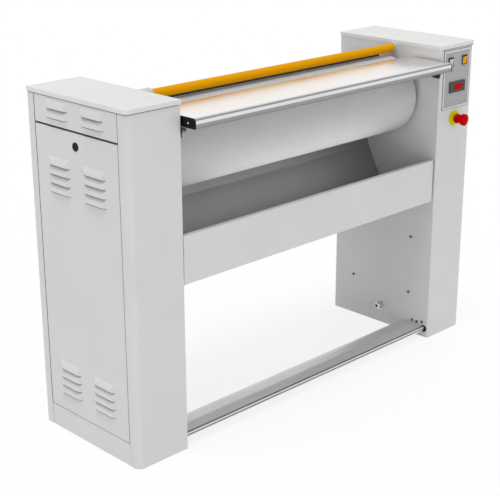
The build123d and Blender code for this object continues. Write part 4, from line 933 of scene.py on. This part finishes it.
def makeReadout(spec):
    mesh = bmesh.new()
    half, width, bar = spec["height"] / 2, spec["width"], spec["bar"]
    bars = {
        "a": (0, half), "d": (0, -half), "g": (0, 0),
        "b": (width / 2, half / 2), "c": (width / 2, -half / 2),
        "f": (-width / 2, half / 2), "e": (-width / 2, -half / 2),
    }
    for index, digit in enumerate(spec["digits"]):
        middle = spec["centre"][0] + (index - 1) * spec["pitch"]  # the second digit is central
        for letter in litBars[digit]:
            x, z = middle + bars[letter][0], spec["centre"][1] + bars[letter][1]
            wide, high = (width - 2 * bar, bar) if letter in levelBars else (bar, half - bar)
            addBlock(mesh, (x - wide / 2, spec["face"] - spec["proud"], z - high / 2),
                     (x + wide / 2, spec["face"], z + high / 2))
    addPiece("readoutFigures", mesh, digitRed, "frame")


makeReadout(readout)
print("readout lit")

# Floor, backdrop and light
studio = {
    "floorSize": 30.0,
    "floorDrop": 0.0005,
    "floorColour": 0.88,
    "floorRoughness": 0.9,
    "seenColour": 1.0,
    "seenWhite": 0.8,
    "worldStrength": 0.70,
}
suns = {
    "topSun": {"towards": (-0.2, -0.1, 1.0), "strength": 1.0, "spread": 20},
    "sideSun": {"towards": (-1.0, 0.1, 0.1), "strength": 0.10, "spread": 25},
}
strips = {
    "lowLamp": {
        "place": (-0.9, -3.0, 0.06),
        "towards": (-0.3, -1.0, -0.25),
        "size": (2.4, 0.1),
        "power": 6,
    },
    "rollerLamp": {
        "place": (0, -0.16, 0.63),
        "towards": (0, -0.35, -0.94),
        "size": (0.8, 0.05),
        "power": 0.5,
    },
}


def seenDirectly(tree):
    path = addNode(tree, "LightPath")
    seen = path.outputs["Is Camera Ray"]
    for name in ("Is Glossy Ray", "Is Transmission Ray"):
        seen = joinFields(tree, "MAXIMUM", seen, path.outputs[name])
    return seen


def mixShaders(tree, share, first, second, output):
    mix = addNode(tree, "MixShader")
    tree.links.new(share, mix.inputs["Fac"])
    tree.links.new(first, mix.inputs[1])
    tree.links.new(second, mix.inputs[2])
    tree.links.new(mix.outputs["Shader"], tree.nodes[output].inputs["Surface"])


# The floor looks white where it is seen, and keeps the machine's shadow
def makeFloor(spec):
    mesh = bmesh.new()
    bmesh.ops.create_grid(mesh, x_segments=1, y_segments=1, size=spec["floorSize"] / 2)
    data = bpy.data.meshes.new("studioFloor")
    mesh.to_mesh(data)
    mesh.free()
    floor = bpy.data.objects.new("studioFloor", data)
    floor.location.z = -spec["floorDrop"]
    bpy.context.scene.collection.objects.link(floor)
    dull, seenGrey = (spec["floorColour"],) * 3, (spec["seenColour"],) * 3
    material, tree, shader = startMaterial("studioFloor", dull, spec["floorRoughness"])
    shader.inputs["Specular IOR Level"].default_value = 0.0
    seen = seenDirectly(tree)
    tree.links.new(colourBand(tree, seen, dull, seenGrey, 0.0, 1.0), shader.inputs["Base Color"])
    share = joinFields(tree, "MULTIPLY", seen, spec["seenWhite"])
    white = addNode(tree, "Emission", Color=(1, 1, 1, 1), Strength=1.0)
    mixShaders(tree, share, shader.outputs["BSDF"], white.outputs["Emission"], "Material Output")
    data.materials.append(material)


def makeWorld(spec):
    world = bpy.data.worlds.new("studioWorld")
    world.use_nodes = True
    bpy.context.scene.world = world
    tree = world.node_tree
    light = tree.nodes["Background"]
    light.inputs["Color"].default_value = (1, 1, 1, 1)
    light.inputs["Strength"].default_value = spec["worldStrength"]
    white = addNode(tree, "Background", Color=(1, 1, 1, 1), Strength=1.0)
    mixShaders(tree, seenDirectly(tree), light.outputs["Background"],
               white.outputs["Background"], "World Output")


def addLamp(name, data, towards, place=(0, 0, 0)):
    lamp = bpy.data.objects.new(name, data)
    lamp.location = place
    lamp.rotation_euler = Vector(towards).to_track_quat("Z", "Y").to_euler()
    bpy.context.scene.collection.objects.link(lamp)


def addSun(name, spec):
    data = bpy.data.lights.new(name, "SUN")
    data.energy = spec["strength"]
    data.angle = radians(spec["spread"])
    addLamp(name, data, spec["towards"])


def addStrip(name, spec):
    data = bpy.data.lights.new(name, "AREA")
    data.shape = "RECTANGLE"
    data.size, data.size_y = spec["size"]
    data.energy = spec["power"]
    addLamp(name, data, spec["towards"], spec["place"])


makeFloor(studio)
makeWorld(studio)
for sunName, sunSpec in suns.items():
    addSun(sunName, sunSpec)
for stripName, stripSpec in strips.items():
    addStrip(stripName, stripSpec)
bpy.context.scene.view_settings.view_transform = "Standard"
print("studio lit")
